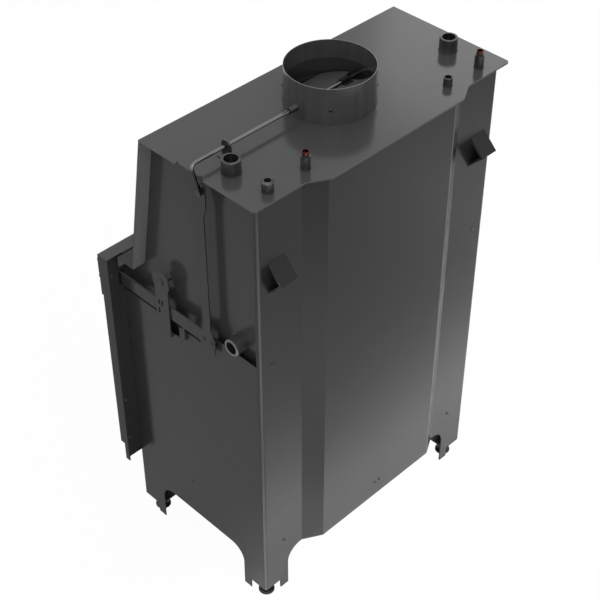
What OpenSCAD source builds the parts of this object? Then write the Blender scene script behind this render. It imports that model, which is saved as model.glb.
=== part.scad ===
// Water-jacket fireplace insert: a steel firebox inside a water tank, on four
// levelling feet, with a flue damper worked by a pull bar and a slotted yoke.
// Millimetres. +Z is up, -Y is the door, +X is the side with the linkage.

/* [Casing] */
// Width over the two lower side panels
body_w = 736; // [660:4:900]
// Depth from the casing's front face to the flat parts of its rear wall
body_d = 457; // [440:1:560]
// Height of the top plate's upper face above the floor
plate_z = 1240; // [1220:5:1400]
// Height of the side panels' top edge above the floor
side_top_z = 800; // [760:5:860]
// Height of the panels' lower edge between the legs
skirt_z = 136; // [120:1:145]
// Thickness of the outer side panels
sheet_t = 2; // [1.5:0.5:3]
// Thickness of the bent rear wall
rear_t = 4; // [3:0.5:5]
// Outer radius of the rear wall's corner bends
corner_r = 8; // [6:1:12]
// Length of the short flange that turns round each rear corner
corner_flange = 12; // [12:1:20]

/* [Rear bulge] */
// Width of the bulge's flat face
bulge_w = 390; // [300:2:420]
// Width of each slanted side of the bulge
bulge_run = 48; // [30:1:60]
// Depth of the bulge
bulge_out = 27; // [15:1:40]

/* [Top plate] */
// Depth of the plate at its corners
plate_d = 344; // [336:1:380]
// Thickness of the plate
plate_t = 4; // [3:0.5:6]
// Overhang of the plate past each side panel
plate_side = 19; // [14:1:24]
// Overhang of the plate past the rear wall
plate_rear = 15; // [8:1:24]
// Radius of the plate's rear corners
plate_r = 8; // [4:1:16]

/* [Legs and feet] */
// Width of each leg along either wall
leg_w = 77; // [74:1:90]
// Radius of the arch beside each leg
arch_r = 43; // [20:1:50]
// Width of the tab that reaches lowest
tab_w = 25; // [15:1:30]
// Height of the tab's lower end above the floor
tab_z = 14; // [12:1:24]
// Height of the foot bracket's underside above the floor
bracket_z = 44; // [38:1:56]
// Distance of each foot's axis from the outer corner faces
foot_in = 30; // [26:1:34]
// Diameter of the levelling disc
foot_d = 40; // [30:1:44]
// Diameter of the levelling screw
foot_stem_d = 12; // [10:1:14]

/* [Flue] */
// Outer diameter of the flue collar
flue_d = 200; // [180:1:200]
// Height of the collar
flue_h = 85; // [70:1:110]
// Wall of the collar
flue_t = 2; // [1.5:0.5:3]
// Distance of the flue's axis from the plate's rear edge
flue_back = 176; // [170:1:180]

/* [Damper] */
// Diameter of the damper rod
rod_d = 8; // [7:0.5:9]
// Height of the rod above the plate
rod_up = 24; // [22:1:26]
// Length of the crank from the rod's axis to the pin's
crank_r = 65; // [60:1:66]
// Crank angle behind straight down, with the damper closed
crank_rest = 12; // [8:1:22]
// Crank angle in front of straight down, with the damper open
crank_open = 40; // [34:1:42]
// Tilt of the closed damper disc, its rear edge up
disc_tilt = 11; // [4:1:14]
// Thickness of the damper disc
disc_t = 3; // [2:0.5:4]

/* [Pull bar] */
// Height of the bar's axis above the floor
bar_z = 791; // [784:1:793]
// Height of the flat bar's section
bar_h = 34; // [26:1:36]
// Thickness of the flat bar
bar_t = 4; // [3:0.5:5]
// Gap between the bar and the side panel
bar_gap = 4; // [3:0.5:6]
// Distance of the yoke's axis from the plate's rear edge
yoke_back = 171; // [168:1:173]
// Width of the yoke's stem
yoke_w = 24; // [18:1:30]
// Thickness of the yoke
yoke_t = 3; // [2:0.5:4]

/* [Water connections] */
// Outer diameter of the flow and return sockets
socket_d = 41; // [38:1:46]
// Core diameter of their pipe thread
socket_bore = 30.3; // [24:0.1:32]
// Length of the flow and return sockets
socket_l = 33; // [25:1:40]
// Distance of the flow sockets from the middle
flow_x = 328; // [300:1:330]
// Distance of the flow sockets from the plate's rear edge
flow_back = 128; // [115:1:140]
// Distance of the return sockets from the plate's rear edge
return_back = 87; // [80:1:95]
// Depth of the return sockets below the plate's top
return_down = 411; // [400:1:412]
// Outer diameter of the cooling coil's copper tube
coil_d = 15; // [12:1:18]
// Straight runs that the coil makes behind the firebox
coil_runs = 8; // [4:2:8]

/* [Front] */
// Width of the door frame past each side panel
frame_side = 41; // [36:1:50]
// Depth of the door frame
frame_d = 14; // [13:1:18]
// Height of the frame's top above the floor
frame_top = 860; // [850:1:862]
// Thickness of the door leaf and the header
leaf_t = 20; // [16:1:24]
// Height of the door leaf's lower edge
leaf_z = 245; // [240:1:250]
// Height of the door leaf
leaf_h = 493; // [480:1:495]
// Distance of the firebox mouth inside the frame's sides
mouth_in = 119; // [110:1:160]
// Height of the mouth's lower edge
mouth_z = 285; // [285:1:300]
// Height of the door leaf above the mouth
mouth_down = 38; // [38:1:70]
// Thickness of the door glass
glass_t = 4; // [3:0.5:5]
// Length of the door handle's grip
grip_l = 190; // [120:2:200]

/* [Water tank and firebox] */
// Distance of the tank's sides inside the lower side panels
tank_in = 16; // [12:1:18]
// Thickness of the tank's side walls
tank_t = 4; // [3:0.5:5]
// Thickness of the firebox walls
fire_t = 5; // [4:0.5:6]
// Width of the water space at the sides
water_side = 36; // [30:1:44]
// Width of the water space at the rear
water_rear = 45; // [42:1:50]
// Height of the hearth plate's upper face
hearth_z = 255; // [250:1:260]
// Height of the firebox roof's upper face
crown_z = 1100; // [1080:1:1110]
// Outer diameter of the water tubes across the firebox
tube_d = 48; // [38:1:52]

/* [Grate and air] */
// Width of the opening under the grate
grate_w = 300; // [240:2:320]
// Depth of the opening under the grate
grate_d = 200; // [160:2:210]
// Travel of the air slide
air_travel = 50; // [30:1:55]

/* [Hidden] */
$fn = 64;
over = 1;              // overrun of every cut
fit = 0.05;            // radial clearance of a shaft in its bore
seat = 0.3;            // gap between a loose piece and its seat

// Frame of the whole part: x = 0 in the middle, y = 0 at half the depth
hw = body_w / 2;
pw = hw + plate_side;
tw = hw - tank_in;
grip_axis = 72;        // the pull grip's axis in front of the casing
ball_r = 9;            // radius of the grip's two balls
total_d = grip_axis + ball_r + body_d + plate_rear + bulge_out;
yf = ball_r + grip_axis - total_d / 2;
yr = yf + body_d;
pr = yr + plate_rear;
pf = pr - plate_d;
zu = plate_z - plate_t;
bulge_half = bulge_w / 2;
bend_shift = tan(atan2(bulge_out, bulge_run) / 2);
plate_lap = 5;         // how far the plate's bulge stands past the wall's
leg_cut = leg_w - tab_w;
bracket_t = 4;
bracket_w = 58;
nut_h = 8;
nut_d = 22;
foot_h = 8;
foot_reach = 30;       // screw above the bracket's nut
foot_y = [yf + foot_in, yr - foot_in];

// Flue and damper
flue_r = flue_d / 2;
flue_y = pr - flue_back;
spigot_l = 44;         // upper part of the collar, drawn in for the flue pipe
spigot_in = 1;
rod_z = plate_z + rod_up;
rod_r = rod_d / 2;
bush_d = 14;
bush_l = 26;
bush_in = 3;
disc_gap = 4;          // gap between the disc's edge and the collar
disc_notch_r = 30;
disc_chord_share = 0.84;
clip_l = 24;
clip_w = 28;
clip_t = 2;
clip_x = -58;
pin_y = flue_y + crank_r * sin(crank_rest);
pin_z = rod_z - crank_r * cos(crank_rest);
bar_x = hw + bar_gap;
yoke_x = bar_x + bar_t;
yoke_y = pr - yoke_back;
yoke_gap = 1.2;        // gap between the yoke and the crank's hub
crank_lean = 6;        // the crank's upper end outside its hub
hub_r = 7.5;
hub_l = 10;
pin_x = yoke_x + yoke_t + yoke_gap + hub_l / 2;   // middle of the crank's hub
crank_x = pin_x + crank_lean;
washer_t = 2;
washer_gap = 0.6;
notch_front = 54;
notch_rear = 30;
notch_gap = 1;         // between the yoke and the notch in the plate
eye_x = 296;
eye_t = 4;
eye_w = 26;

// Yoke: stem, slotted head and riveted foot
head_w = 40;
head_h = 65;
head_drop = 8;         // below the plate's underside
foot_w = 47;
foot_rise = 38;        // height of the foot's straight sides
foot_below = 12;       // the foot below the bar
shoulder = 24;
yoke_lean = 2;         // the head in front of the foot
bar_end = 6;           // the bar's end inside the foot's rear edge
stroke = crank_r * (sin(crank_open) + sin(crank_rest));
slot_play = 0.4;
mid_angle = (crank_open - crank_rest) / 2;
slot_wander = stroke / 2 - crank_r * (sin(crank_rest) + sin(mid_angle));
slot_w = rod_d + abs(slot_wander) + 2 * slot_play;
slot_y = pin_y + slot_wander / 2;
slot_top = rod_z - crank_r * cos(crank_open);
slot_low = rod_z - crank_r;
rivet_d = 10;
rivet_t = 2;

// Pull bar guide
guide_back = 319;
guide_w = 44;
guide_t = 3;
guide_clear = 1;
guide_low = 71;        // below the bar's axis
guide_head_r = 28;
guide_head_z = 80;     // above the bar's axis
guide_slot = 5;
rest_back = 256;
rest_w = 6;
rest_h = 37;
grip_r = 6;
grip_span = 48;
grip_z = bar_z - 11;
grip_hub = 12;
recess_down = 43;      // the right panel's step down beside the bar
pocket_deep = 33;      // deeper part of the step, behind the guide
pocket_l = 38;

// Sockets on the plate, places from the plate's rear edge
row_back = 33;
coil_x = [216, -320];
sensor_x = 320;
sensor_d = 25;
sensor_l = 25;
probe_x = -216;
probe_d = 20;
probe_l = 21;
probe_bore = 15;
sleeve_d = 21;
sleeve_l = 32;
tip_l = 10;
tip_free = 0.5;        // the thinner tube between its tip and the sleeve
tube_play = 0.5;       // the tube below its tip, thinner than the tip
coil_top = 1160;
coil_low = 930;
coil_bore = 13;
socket_gap = 3;        // the side panel round a return socket
hole_play = 2;         // the hole under a socket, wider than its bore
tip_bore_l = 25;

// Lifting lugs
lug_x = 316;
lug_w = 48;
lug_leg = 55;
lug_t = 5;
lug_down = 203;

// Front shell over the door
ledge_z = 864;
shell_t = 3;
slope_run = 65;
shell_lip_y = yf + 11;
shell_lip_h = 26;
slope_k = slope_run / (zu - ledge_z);
slope_in = shell_t * sqrt(1 + slope_k * slope_k);

// Door frame and door, distances in front of the casing's face
fw = hw + frame_side;
mouth_w = 2 * (fw - mouth_in);
mouth_h = leaf_z + leaf_h - mouth_down - mouth_z;
ft = 3;
frame_low = 198;
flange_low = 220;
frame_open = 29;       // width of the frame's face beside the door's body
frame_in = fw - frame_open;
frame_lap = 8;         // the frame's return flange over the casing's face
plate4 = 4;            // thickness of the firebox front plate
header_gap = 4;
header_z = leaf_z + leaf_h + header_gap;
header_t = 2;
slot_x = 4;
slot_h = 4;
leaf_gap = 0.5;
leaf_side = 4;
leaf_r = (leaf_t - leaf_gap) / 2;
hinge_x = -(fw - leaf_side - leaf_r);
hinge_u = frame_d + leaf_gap + leaf_r;
hinge_pin_d = 10;
hinge_in = 18;
hinge_up = 7;
hinge_l = 28;
hinge_t = 5;
body_gap = 6;
body_back = 8;         // the seal's thickness: gap from casing to door body
body_low = 11;
window_in = 5;
window_lap = 12;
bevel = 8;
seal_w = 12;
seal_out = 32;         // the seal's inner edge past the mouth
seal_out_z = 8;
clip_n = 3;
glass_clip_l = 30;
glass_clip_w = 24;
glass_clip_t = 2;
handle_x = 352;
handle_z = 545;
handle_r = 10;
handle_out = 62;
spindle_d = 10;
knob_r = 11;
latch_l = 36;
latch_w = 18;
latch_t = 4;

// Tank and firebox
fx = tw - tank_t - water_side;
back_y = yr - rear_t - water_rear - fire_t;
lintel_out = 99;
lintel_y = yf + lintel_out;
lintel_z = 736;
lintel_run = 53;
lintel_k = lintel_run / (crown_z - fire_t - lintel_z);
lintel_in = fire_t * sqrt(1 + lintel_k * lintel_k);
base_z = 150;
base_t = 3;
tube_t = 3.5;
tube_back = 135;       // the rearmost tube in front of the rear wall's face
tube_step = 40;
tube_low = 880;
tube_rise = 80;
tube_y = [for (i = [0 : 3]) yr - tube_back - i * tube_step];
tube_places = [[tube_y[0], tube_low], [tube_y[2], tube_low], [tube_y[1], tube_low + tube_rise],
  [tube_y[3], tube_low + tube_rise]];
baffle_t = 4;
baffle_d = 170;
baffle_side = 7;
guard_h = 45;
guard_t = 4;
guard_in = 20;
guard_side = 20;

// Grate, ash pan and air slide
grate_in = 192;        // middle of the grate behind the casing's front face
grate_y = yf + grate_in;
grate_gap = 2;
grate_rim = 8;
grate_rim_t = 6;
grate_t = 12;
grate_bars = 9;
grate_slot_share = 0.5;
grate_slot_l_share = 0.82;
pan_gap = 12;
pan_h = 70;
pan_t = 1.5;
air_z = 220;
air_h = 40;
air_w = 256;
air_t = 2;
air_slot_w = 44;
air_slot_h = 20;
air_slots = 3;
rail_t = 4;
rail_lip = 3;
rail_l = 390;
stem_d = 8;
knob_d = 18;
knob_l = 12;
knob_u = 30;
air_play = 0.5;

screw_d = 8;
screw_h = 2;
bolt_d = 16;
bolt_h = 9;

// A profile in the Y-Z plane, extruded along X from x0 by len
module yz(x0, len) {
  translate([x0, 0, 0]) rotate([90, 0, 90]) linear_extrude(len) children();
}

// A profile in the X-Z plane, extruded along +Y from y0 by len
module xz(y0, len) {
  translate([0, y0 + len, 0]) rotate([90, 0, 0]) linear_extrude(len) children();
}

// A cylinder along +X from x0
module along_x(x0, len, r) {
  translate([x0, 0, 0]) rotate([0, 90, 0]) cylinder(r = r, h = len);
}

// A box between two corners
module span(a, b) {
  translate(a) cube(b - a);
}

module both_sides() {
  children();
  mirror([1, 0, 0]) children();
}

// The opening between two legs: a rectangle with rounded upper corners
module arch(low, high) {
  translate([low, tab_z - over]) square([high - low, skirt_z - arch_r - tab_z + over]);
  translate([low + arch_r, skirt_z - arch_r - over])
    square([high - low - 2 * arch_r, arch_r + over]);
  for (c = [low + arch_r, high - arch_r])
    translate([c, skirt_z - arch_r]) circle(arch_r);
}

// Half of the space inside the bent rear wall, seen from above, inset by t
module rear_half(t, low) {
  k = t * bend_shift;
  polygon([[0, yr - corner_flange - low], [hw - t, yr - corner_flange - low], [hw - t, yr - corner_r],
    [hw - corner_r, yr - t], [bulge_half + bulge_run - k, yr - t], [bulge_half - k, yr + bulge_out - t],
    [0, yr + bulge_out - t]]);
  translate([hw - corner_r, yr - corner_r]) intersection() {
    circle(corner_r - t);
    square(corner_r);
  }
}

module rear_wall() {
  color([0.30, 0.31, 0.32]) difference() {
    translate([0, 0, tab_z]) linear_extrude(zu - tab_z) difference() {
      for (m = [0, 1]) mirror([m, 0]) rear_half(0, 0);
      for (m = [0, 1]) mirror([m, 0]) rear_half(rear_t, over);
    }
    xz(yr - corner_flange - over, corner_flange + bulge_out + 2 * over)
      arch(leg_w - hw, hw - leg_w);
    both_sides()
      span([hw - leg_cut, yr - corner_flange - over, tab_z - over],
        [hw + over, yr + over, bracket_z]);
  }
}

module side_panel() {
  difference() {
    span([hw - sheet_t, yf, tab_z], [hw, yr - corner_flange, side_top_z]);
    translate([0, pr - return_back, plate_z - return_down])
      along_x(hw - sheet_t - over, sheet_t + 2 * over, socket_d / 2 + socket_gap);
    yz(hw - sheet_t - over, sheet_t + 2 * over) arch(yf + leg_w, yr - leg_w);
    span([hw - sheet_t - over, yf - over, tab_z - over], [hw + over, yf + leg_cut, bracket_z]);
    span([hw - sheet_t - over, yr - leg_cut, tab_z - over], [hw + over, yr, bracket_z]);
  }
}

// The right panel is lower beside the pull bar, as far as the yoke hides the step
module side_panel_right() {
  color([0.32, 0.33, 0.34]) difference() {
    side_panel();
    span([hw - sheet_t - over, yf - over, side_top_z - recess_down],
      [hw + over, yoke_y - yoke_w / 2, side_top_z + over]);
    translate([0, pr - guide_back, side_top_z - recess_down - pocket_deep])
      span([hw - sheet_t - over, 0, 0], [hw + over, pocket_l, pocket_deep + over]);
  }
}

module side_panel_left() {
  color([0.32, 0.33, 0.34]) mirror([1, 0, 0]) side_panel();
}

// Outline of the top plate, with the bulge behind and a notch for the crank
module plate_outline() {
  half = bulge_half + plate_lap;
  difference() {
    polygon([[-pw, pf], [pw, pf], [pw, pr], [half + bulge_run, pr], [half, pr + bulge_out],
      [-half, pr + bulge_out], [-half - bulge_run, pr], [-pw, pr]]);
    for (s = [-1, 1]) difference() {
      translate([s * (pw - plate_r / 2 + over / 2), pr - plate_r / 2 + over / 2])
        square(plate_r + over, center = true);
      translate([s * (pw - plate_r), pr - plate_r]) circle(plate_r);
    }
    translate([yoke_x + yoke_t + notch_gap, flue_y - notch_front])
      square([pw, notch_front + notch_rear]);
  }
}

module top_plate() {
  color([0.45, 0.46, 0.47]) difference() {
    translate([0, 0, zu]) linear_extrude(plate_t) plate_outline();
    translate([0, flue_y, zu - over]) cylinder(r = flue_r - flue_t, h = plate_t + 2 * over);
    for (x = [-flow_x, flow_x])
      translate([x, pr - flow_back, zu - over])
        cylinder(d = socket_bore + hole_play, h = plate_t + 2 * over);
    for (x = coil_x)
      translate([x, pr - row_back, zu - over])
        cylinder(r = coil_d / 2 + fit, h = plate_t + 2 * over);
    for (x = [sensor_x, probe_x])
      translate([x, pr - row_back, zu - over])
        cylinder(d = probe_bore + hole_play, h = plate_t + 2 * over);
  }
}

// Tank side: its front edge follows the inside of the front shell
module tank_outline() {
  front = yf + plate4;
  polygon([[front, base_z], [front, ledge_z - shell_lip_h],
    [shell_lip_y + shell_t, ledge_z - shell_lip_h],
    [shell_lip_y + shell_t, ledge_z - shell_t],
    [pf - slope_run + slope_in + slope_k * shell_t, ledge_z - shell_t],
    [pf + slope_in, zu], [yr - rear_t, zu], [yr - rear_t, base_z]]);
}

module tank_side() {
  difference() {
    yz(tw - tank_t, tank_t) tank_outline();
    translate([0, pr - return_back, plate_z - return_down])
      along_x(tw - tank_t - over, tank_t + 2 * over, (socket_bore + hole_play) / 2);
  }
}

module tank_side_right() {
  color([0.27, 0.28, 0.29]) tank_side();
}

module tank_side_left() {
  color([0.27, 0.28, 0.29]) mirror([1, 0, 0]) tank_side();
}

// One bent sheet: slope, ledge and lip, as wide as the top plate
module front_shell() {
  foot = pf - slope_run;
  inner = foot + slope_in + slope_k * shell_t;
  color([0.38, 0.39, 0.40]) yz(-pw, 2 * pw)
    polygon([[pf, zu], [foot, ledge_z], [shell_lip_y, ledge_z],
      [shell_lip_y, ledge_z - shell_lip_h],
      [shell_lip_y + shell_t, ledge_z - shell_lip_h], [shell_lip_y + shell_t, ledge_z - shell_t],
      [inner, ledge_z - shell_t], [pf + slope_in, zu]]);
}

module front_plate() {
  color([0.25, 0.25, 0.26]) difference() {
    span([sheet_t - hw, yf, tab_z], [hw - sheet_t, yf + plate4, frame_top]);
    xz(yf - over, plate4 + 2 * over) arch(leg_w - hw, hw - leg_w);
    both_sides() span([hw - leg_cut, yf - over, tab_z - over], [hw, yf + plate4 + over, bracket_z]);
    span([-mouth_w / 2, yf - over, mouth_z], [mouth_w / 2, yf + plate4 + over, mouth_z + mouth_h]);
    air_slots(0, 0, yf - over, plate4 + 2 * over);
  }
}

// Row of air slots from the given one on, moved along X by dx
module air_slots(first, dx, y0, len) {
  pitch = 2 * air_travel;
  for (i = [first : air_slots - 1])
    translate([dx + (i - (air_slots - 1) / 2) * pitch - air_slot_w / 2, y0, air_z - air_slot_h / 2])
      cube([air_slot_w, len, air_slot_h]);
}

module hearth_plate() {
  color([0.25, 0.25, 0.26]) difference() {
    span([tank_t - tw, yf + plate4, hearth_z - fire_t], [tw - tank_t, yr - rear_t, hearth_z]);
    translate([-grate_w / 2, grate_y - grate_d / 2, hearth_z - fire_t - over])
      cube([grate_w, grate_d, fire_t + 2 * over]);
  }
}

module base_plate() {
  color([0.25, 0.25, 0.26])
    span([tank_t - tw, yf + plate4, base_z], [tw - tank_t, yr - rear_t, base_z + base_t]);
}

module firebox_side() {
  difference() {
    yz(fx - fire_t, fire_t)
      polygon([[yf + plate4, hearth_z], [yf + plate4, lintel_z], [lintel_y, lintel_z],
        [lintel_y + lintel_run, crown_z - fire_t], [back_y, crown_z - fire_t], [back_y, hearth_z]]);
    for (p = tube_places)
      translate([0, p[0], p[1]]) along_x(fx - fire_t - over, fire_t + 2 * over, tube_d / 2 - tube_t);
  }
}

module firebox_side_right() {
  color([0.22, 0.22, 0.23]) firebox_side();
}

module firebox_side_left() {
  color([0.22, 0.22, 0.23]) mirror([1, 0, 0]) firebox_side();
}

module firebox_back() {
  color([0.22, 0.22, 0.23]) span([-fx, back_y, hearth_z], [fx, back_y + fire_t, crown_z - fire_t]);
}

module firebox_crown() {
  color([0.22, 0.22, 0.23]) difference() {
    span([-fx, lintel_y + lintel_run - lintel_in, crown_z - fire_t], [fx, back_y + fire_t, crown_z]);
    translate([0, flue_y, crown_z - fire_t - over])
      cylinder(r = flue_r - flue_t, h = fire_t + 2 * over);
  }
}

module flue_throat() {
  color([0.22, 0.22, 0.23]) translate([0, flue_y, crown_z]) difference() {
    cylinder(r = flue_r, h = zu - crown_z);
    translate([0, 0, -over]) cylinder(r = flue_r - flue_t, h = zu - crown_z + 2 * over);
  }
}

// Bent sheet above the mouth: lintel, then the sloping front of the firebox
module lintel_shell() {
  color([0.22, 0.22, 0.23]) yz(-fx, 2 * fx)
    polygon([[yf + plate4, lintel_z], [lintel_y, lintel_z], [lintel_y + lintel_run, crown_z - fire_t],
      [lintel_y + lintel_run - lintel_in, crown_z - fire_t],
      [lintel_y + lintel_k * fire_t - lintel_in, lintel_z + fire_t],
      [yf + plate4, lintel_z + fire_t]]);
}

module water_tubes() {
  len = 2 * (fx - fire_t);
  color([0.22, 0.22, 0.23]) for (p = tube_places)
    translate([0, p[0], p[1]]) difference() {
      along_x(-len / 2, len, tube_d / 2);
      along_x(-len / 2 - over, len + 2 * over, tube_d / 2 - tube_t);
    }
}

module baffle_plate() {
  mid = (tube_places[2][0] + tube_places[3][0]) / 2;
  color([0.3, 0.3, 0.3])
    translate([baffle_side + fire_t - fx, mid - baffle_d / 2, tube_places[2][1] + tube_d / 2 + fit])
      cube([2 * (fx - fire_t - baffle_side), baffle_d, baffle_t]);
}

// Serpentine copper tube in the water space behind the firebox
module cooling_coil() {
  pitch = (coil_x[0] - coil_x[1]) / (coil_runs - 1);
  tip = plate_z + sleeve_l + tip_l;
  r = coil_d / 2 - tube_play;
  neck = plate_z + sleeve_l + tip_free + over;
  color([0.72, 0.45, 0.20]) translate([0, pr - row_back, 0]) difference() {
    union() {
      for (i = [0 : coil_runs - 1]) {
        ends = i == 0 || i == coil_runs - 1;
        translate([coil_x[0] - pitch * i, 0, coil_low])
          cylinder(r = r, h = (ends ? neck : coil_top) - coil_low);
      }
      for (x = coil_x) translate([x, 0, neck - over]) cylinder(d = coil_d, h = tip - neck + over);
      for (i = [0 : coil_runs - 2])
        translate([coil_x[0] - pitch * (i + 1), 0, i % 2 ? coil_top : coil_low]) {
          sphere(r + fit);
          translate([pitch, 0, 0]) sphere(r + fit);
          along_x(0, pitch, r);
        }
    }
    for (x = coil_x)
      translate([x, 0, tip - tip_bore_l]) cylinder(d = coil_bore, h = tip_bore_l + over);
  }
}

module coil_sleeves() {
  color([0.40, 0.41, 0.42]) for (x = coil_x)
    translate([x, pr - row_back, plate_z]) difference() {
      cylinder(d = sleeve_d, h = sleeve_l);
      translate([0, 0, -over]) cylinder(r = coil_d / 2 - tube_play + fit, h = sleeve_l + 2 * over);
    }
}

// A welded pipe socket standing on z = 0
module socket(d, bore, len, edge) {
  rotate_extrude() polygon([[bore / 2, 0], [d / 2, 0], [d / 2, len - edge], [d / 2 - edge, len],
    [bore / 2, len]]);
}

socket_edge = 1;
sensor_edge = 3.5;

module flow_sockets() {
  color([0.40, 0.41, 0.42]) for (x = [-flow_x, flow_x])
    translate([x, pr - flow_back, plate_z]) socket(socket_d, socket_bore, socket_l, socket_edge);
}

module return_sockets() {
  color([0.40, 0.41, 0.42]) both_sides()
    translate([tw, pr - return_back, plate_z - return_down]) rotate([0, 90, 0])
      socket(socket_d, socket_bore, socket_l, socket_edge);
}

module sensor_socket() {
  color([0.40, 0.41, 0.42]) translate([sensor_x, pr - row_back, plate_z])
    socket(sensor_d, probe_bore, sensor_l, sensor_edge);
}

module probe_socket() {
  color([0.40, 0.41, 0.42]) translate([probe_x, pr - row_back, plate_z])
    socket(probe_d, probe_bore, probe_l, socket_edge);
}

module flue_collar() {
  color([0.34, 0.35, 0.36]) translate([0, flue_y, plate_z]) difference() {
    union() {
      cylinder(r = flue_r, h = flue_h - spigot_l, $fn = 128);
      cylinder(r = flue_r - spigot_in, h = flue_h, $fn = 128);
    }
    translate([0, 0, -over]) cylinder(r = flue_r - flue_t, h = flue_h + 2 * over, $fn = 128);
    translate([0, 0, rod_up]) {
      along_x(0, flue_r + over, bush_d / 2);
      along_x(-flue_r - over, flue_r, rod_r + fit);
    }
  }
}

collar_screw_z = 35;

module collar_screws() {
  color([0.2, 0.2, 0.2]) translate([0, flue_y, plate_z + collar_screw_z])
    for (a = [45 : 90 : 315]) rotate([0, 0, a]) difference() {
      along_x(flue_r - screw_h, 2 * screw_h, screw_d / 2);
      translate([0, 0, -screw_d]) cylinder(r = flue_r, h = 2 * screw_d, $fn = 128);
    }
}

module rod_bush() {
  color([0.36, 0.37, 0.38]) translate([0, flue_y, rod_z]) difference() {
    along_x(flue_r - flue_t - bush_in, bush_l, bush_d / 2);
    along_x(0, flue_r + bush_l, rod_r + fit);
  }
}

// Upright eye plate that steadies the rod
module rod_bracket() {
  color([0.30, 0.30, 0.31]) {
    yz(eye_x - eye_t / 2, eye_t) difference() {
      union() {
        translate([flue_y - eye_w / 2, plate_z]) square([eye_w, rod_up]);
        translate([flue_y, rod_z]) circle(d = eye_w);
      }
      translate([flue_y, rod_z]) circle(rod_r + fit);
    }
    span([eye_x + eye_t / 2, flue_y - eye_w / 2, plate_z],
      [eye_x + eye_t / 2 + bush_d, flue_y + eye_w / 2, plate_z + screw_h]);
  }
}

// Guide plate outside the pull bar, on a spacer above and a tab below
module bar_guide() {
  gx = yoke_x + guide_clear;
  gy = pr - guide_back;
  head_z = bar_z + guide_head_z;
  color([0.33, 0.34, 0.35]) {
    yz(gx, guide_t) difference() {
      union() {
        translate([gy - guide_w / 2, bar_z - guide_low]) square([guide_w, guide_low + guide_head_z]);
        translate([gy, head_z]) circle(guide_head_r);
      }
      for (s = [-1, 1])
        translate([gy + s * guide_slot - guide_slot * 3 / 2, bar_z + guide_slot * 2])
          square([guide_slot, guide_slot * 3]);
      translate([gy - guide_w / 4 - guide_slot / 2, bar_z - bar_h / 2])
        square([guide_slot, bar_h / 2]);
    }
    translate([0, gy, head_z]) along_x(tw, gx - tw, bolt_d / 2);
    translate([0, gy, head_z]) along_x(gx + guide_t, screw_h, bolt_d / 2);
    span([hw, gy - guide_w / 2, bar_z - guide_low],
      [gx, gy + guide_w / 2, bar_z - guide_low + guide_t]);
  }
}

module bar_rest() {
  top = bar_z - bar_h / 2 - seat;
  y = pr - rest_back;
  color([0.33, 0.34, 0.35])
    span([hw, y - rest_w / 2, top - rest_h], [bar_x + bar_t - seat, y + rest_w / 2, top]);
}

// Cut for the pull bar's passage, over the full depth of the front
module bar_passage() {
  span([bar_x - slot_x, yf - frame_d - leaf_t - over, bar_z - bar_h / 2 - slot_h],
    [bar_x + bar_t + slot_x, yf + over, bar_z + bar_h / 2 + slot_h]);
}

module front_frame() {
  color([0.20, 0.20, 0.21]) difference() {
    union() {
      difference() {
        span([-fw, yf - frame_d, frame_low], [fw, yf, frame_top]);
        span([ft - fw, yf - frame_d + ft, frame_low - over], [fw - ft, yf + over, frame_top - ft]);
        span([-frame_in, yf - frame_d - over, leaf_z + slot_x],
          [frame_in, yf + over, leaf_z + leaf_h]);
      }
      both_sides() span([hw - frame_lap, yf - ft, flange_low], [fw - ft, yf, frame_top - ft]);
    }
    bar_passage();
    span([-stem_d, yf - frame_d - over, air_z - stem_d],
      [air_travel + stem_d, yf - over, air_z + stem_d]);
  }
}

module front_header() {
  front = yf - frame_d - leaf_t;
  color([0.20, 0.20, 0.21]) {
    difference() {
      span([-fw, front, header_z], [fw, yf - frame_d, frame_top]);
      span([header_t - fw, front + header_t, header_z + header_t],
        [fw - header_t, yf - frame_d + over, frame_top - header_t]);
      bar_passage();
      translate([hinge_x, yf - hinge_u, header_z - over])
        cylinder(d = hinge_pin_d, h = header_t + 2 * over);
    }
    difference() {
      span([header_t - fw, front + header_t, header_z + header_t],
        [hinge_x + leaf_r, yf - frame_d, header_z + hinge_up]);
      translate([hinge_x, yf - hinge_u, header_z - over])
        cylinder(d = hinge_pin_d, h = hinge_up + 2 * over);
    }
  }
}

// Lower hinge bracket: a shelf for the pin on a leg that is fixed to the frame
module hinge_bracket() {
  low = leaf_z - header_gap - hinge_t;
  color([0.22, 0.22, 0.23]) {
    difference() {
      span([-fw, yf - frame_d - leaf_t, low], [hinge_x + leaf_r, yf - frame_d, low + hinge_t]);
      translate([hinge_x, yf - hinge_u, low - over]) cylinder(d = hinge_pin_d, h = hinge_t + 2 * over);
    }
    span([-fw, yf - frame_d - hinge_t, low - hinge_l], [hinge_x + leaf_r, yf - frame_d, low]);
    translate([hinge_x, yf - hinge_u, low + hinge_t]) difference() {
      cylinder(r = leaf_r - over, h = header_gap - seat);
      translate([0, 0, -over]) cylinder(r = hinge_pin_d / 2 + fit, h = header_gap + over);
    }
  }
}

module hinge_pins() {
  low = leaf_z - header_gap - hinge_t;
  color([0.7, 0.7, 0.7]) translate([hinge_x, yf - hinge_u, 0]) {
    translate([0, 0, low]) cylinder(d = hinge_pin_d, h = hinge_t + header_gap + hinge_in);
    translate([0, 0, leaf_z + leaf_h - hinge_in])
      cylinder(d = hinge_pin_d, h = hinge_in + header_gap + hinge_up);
  }
}

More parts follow.
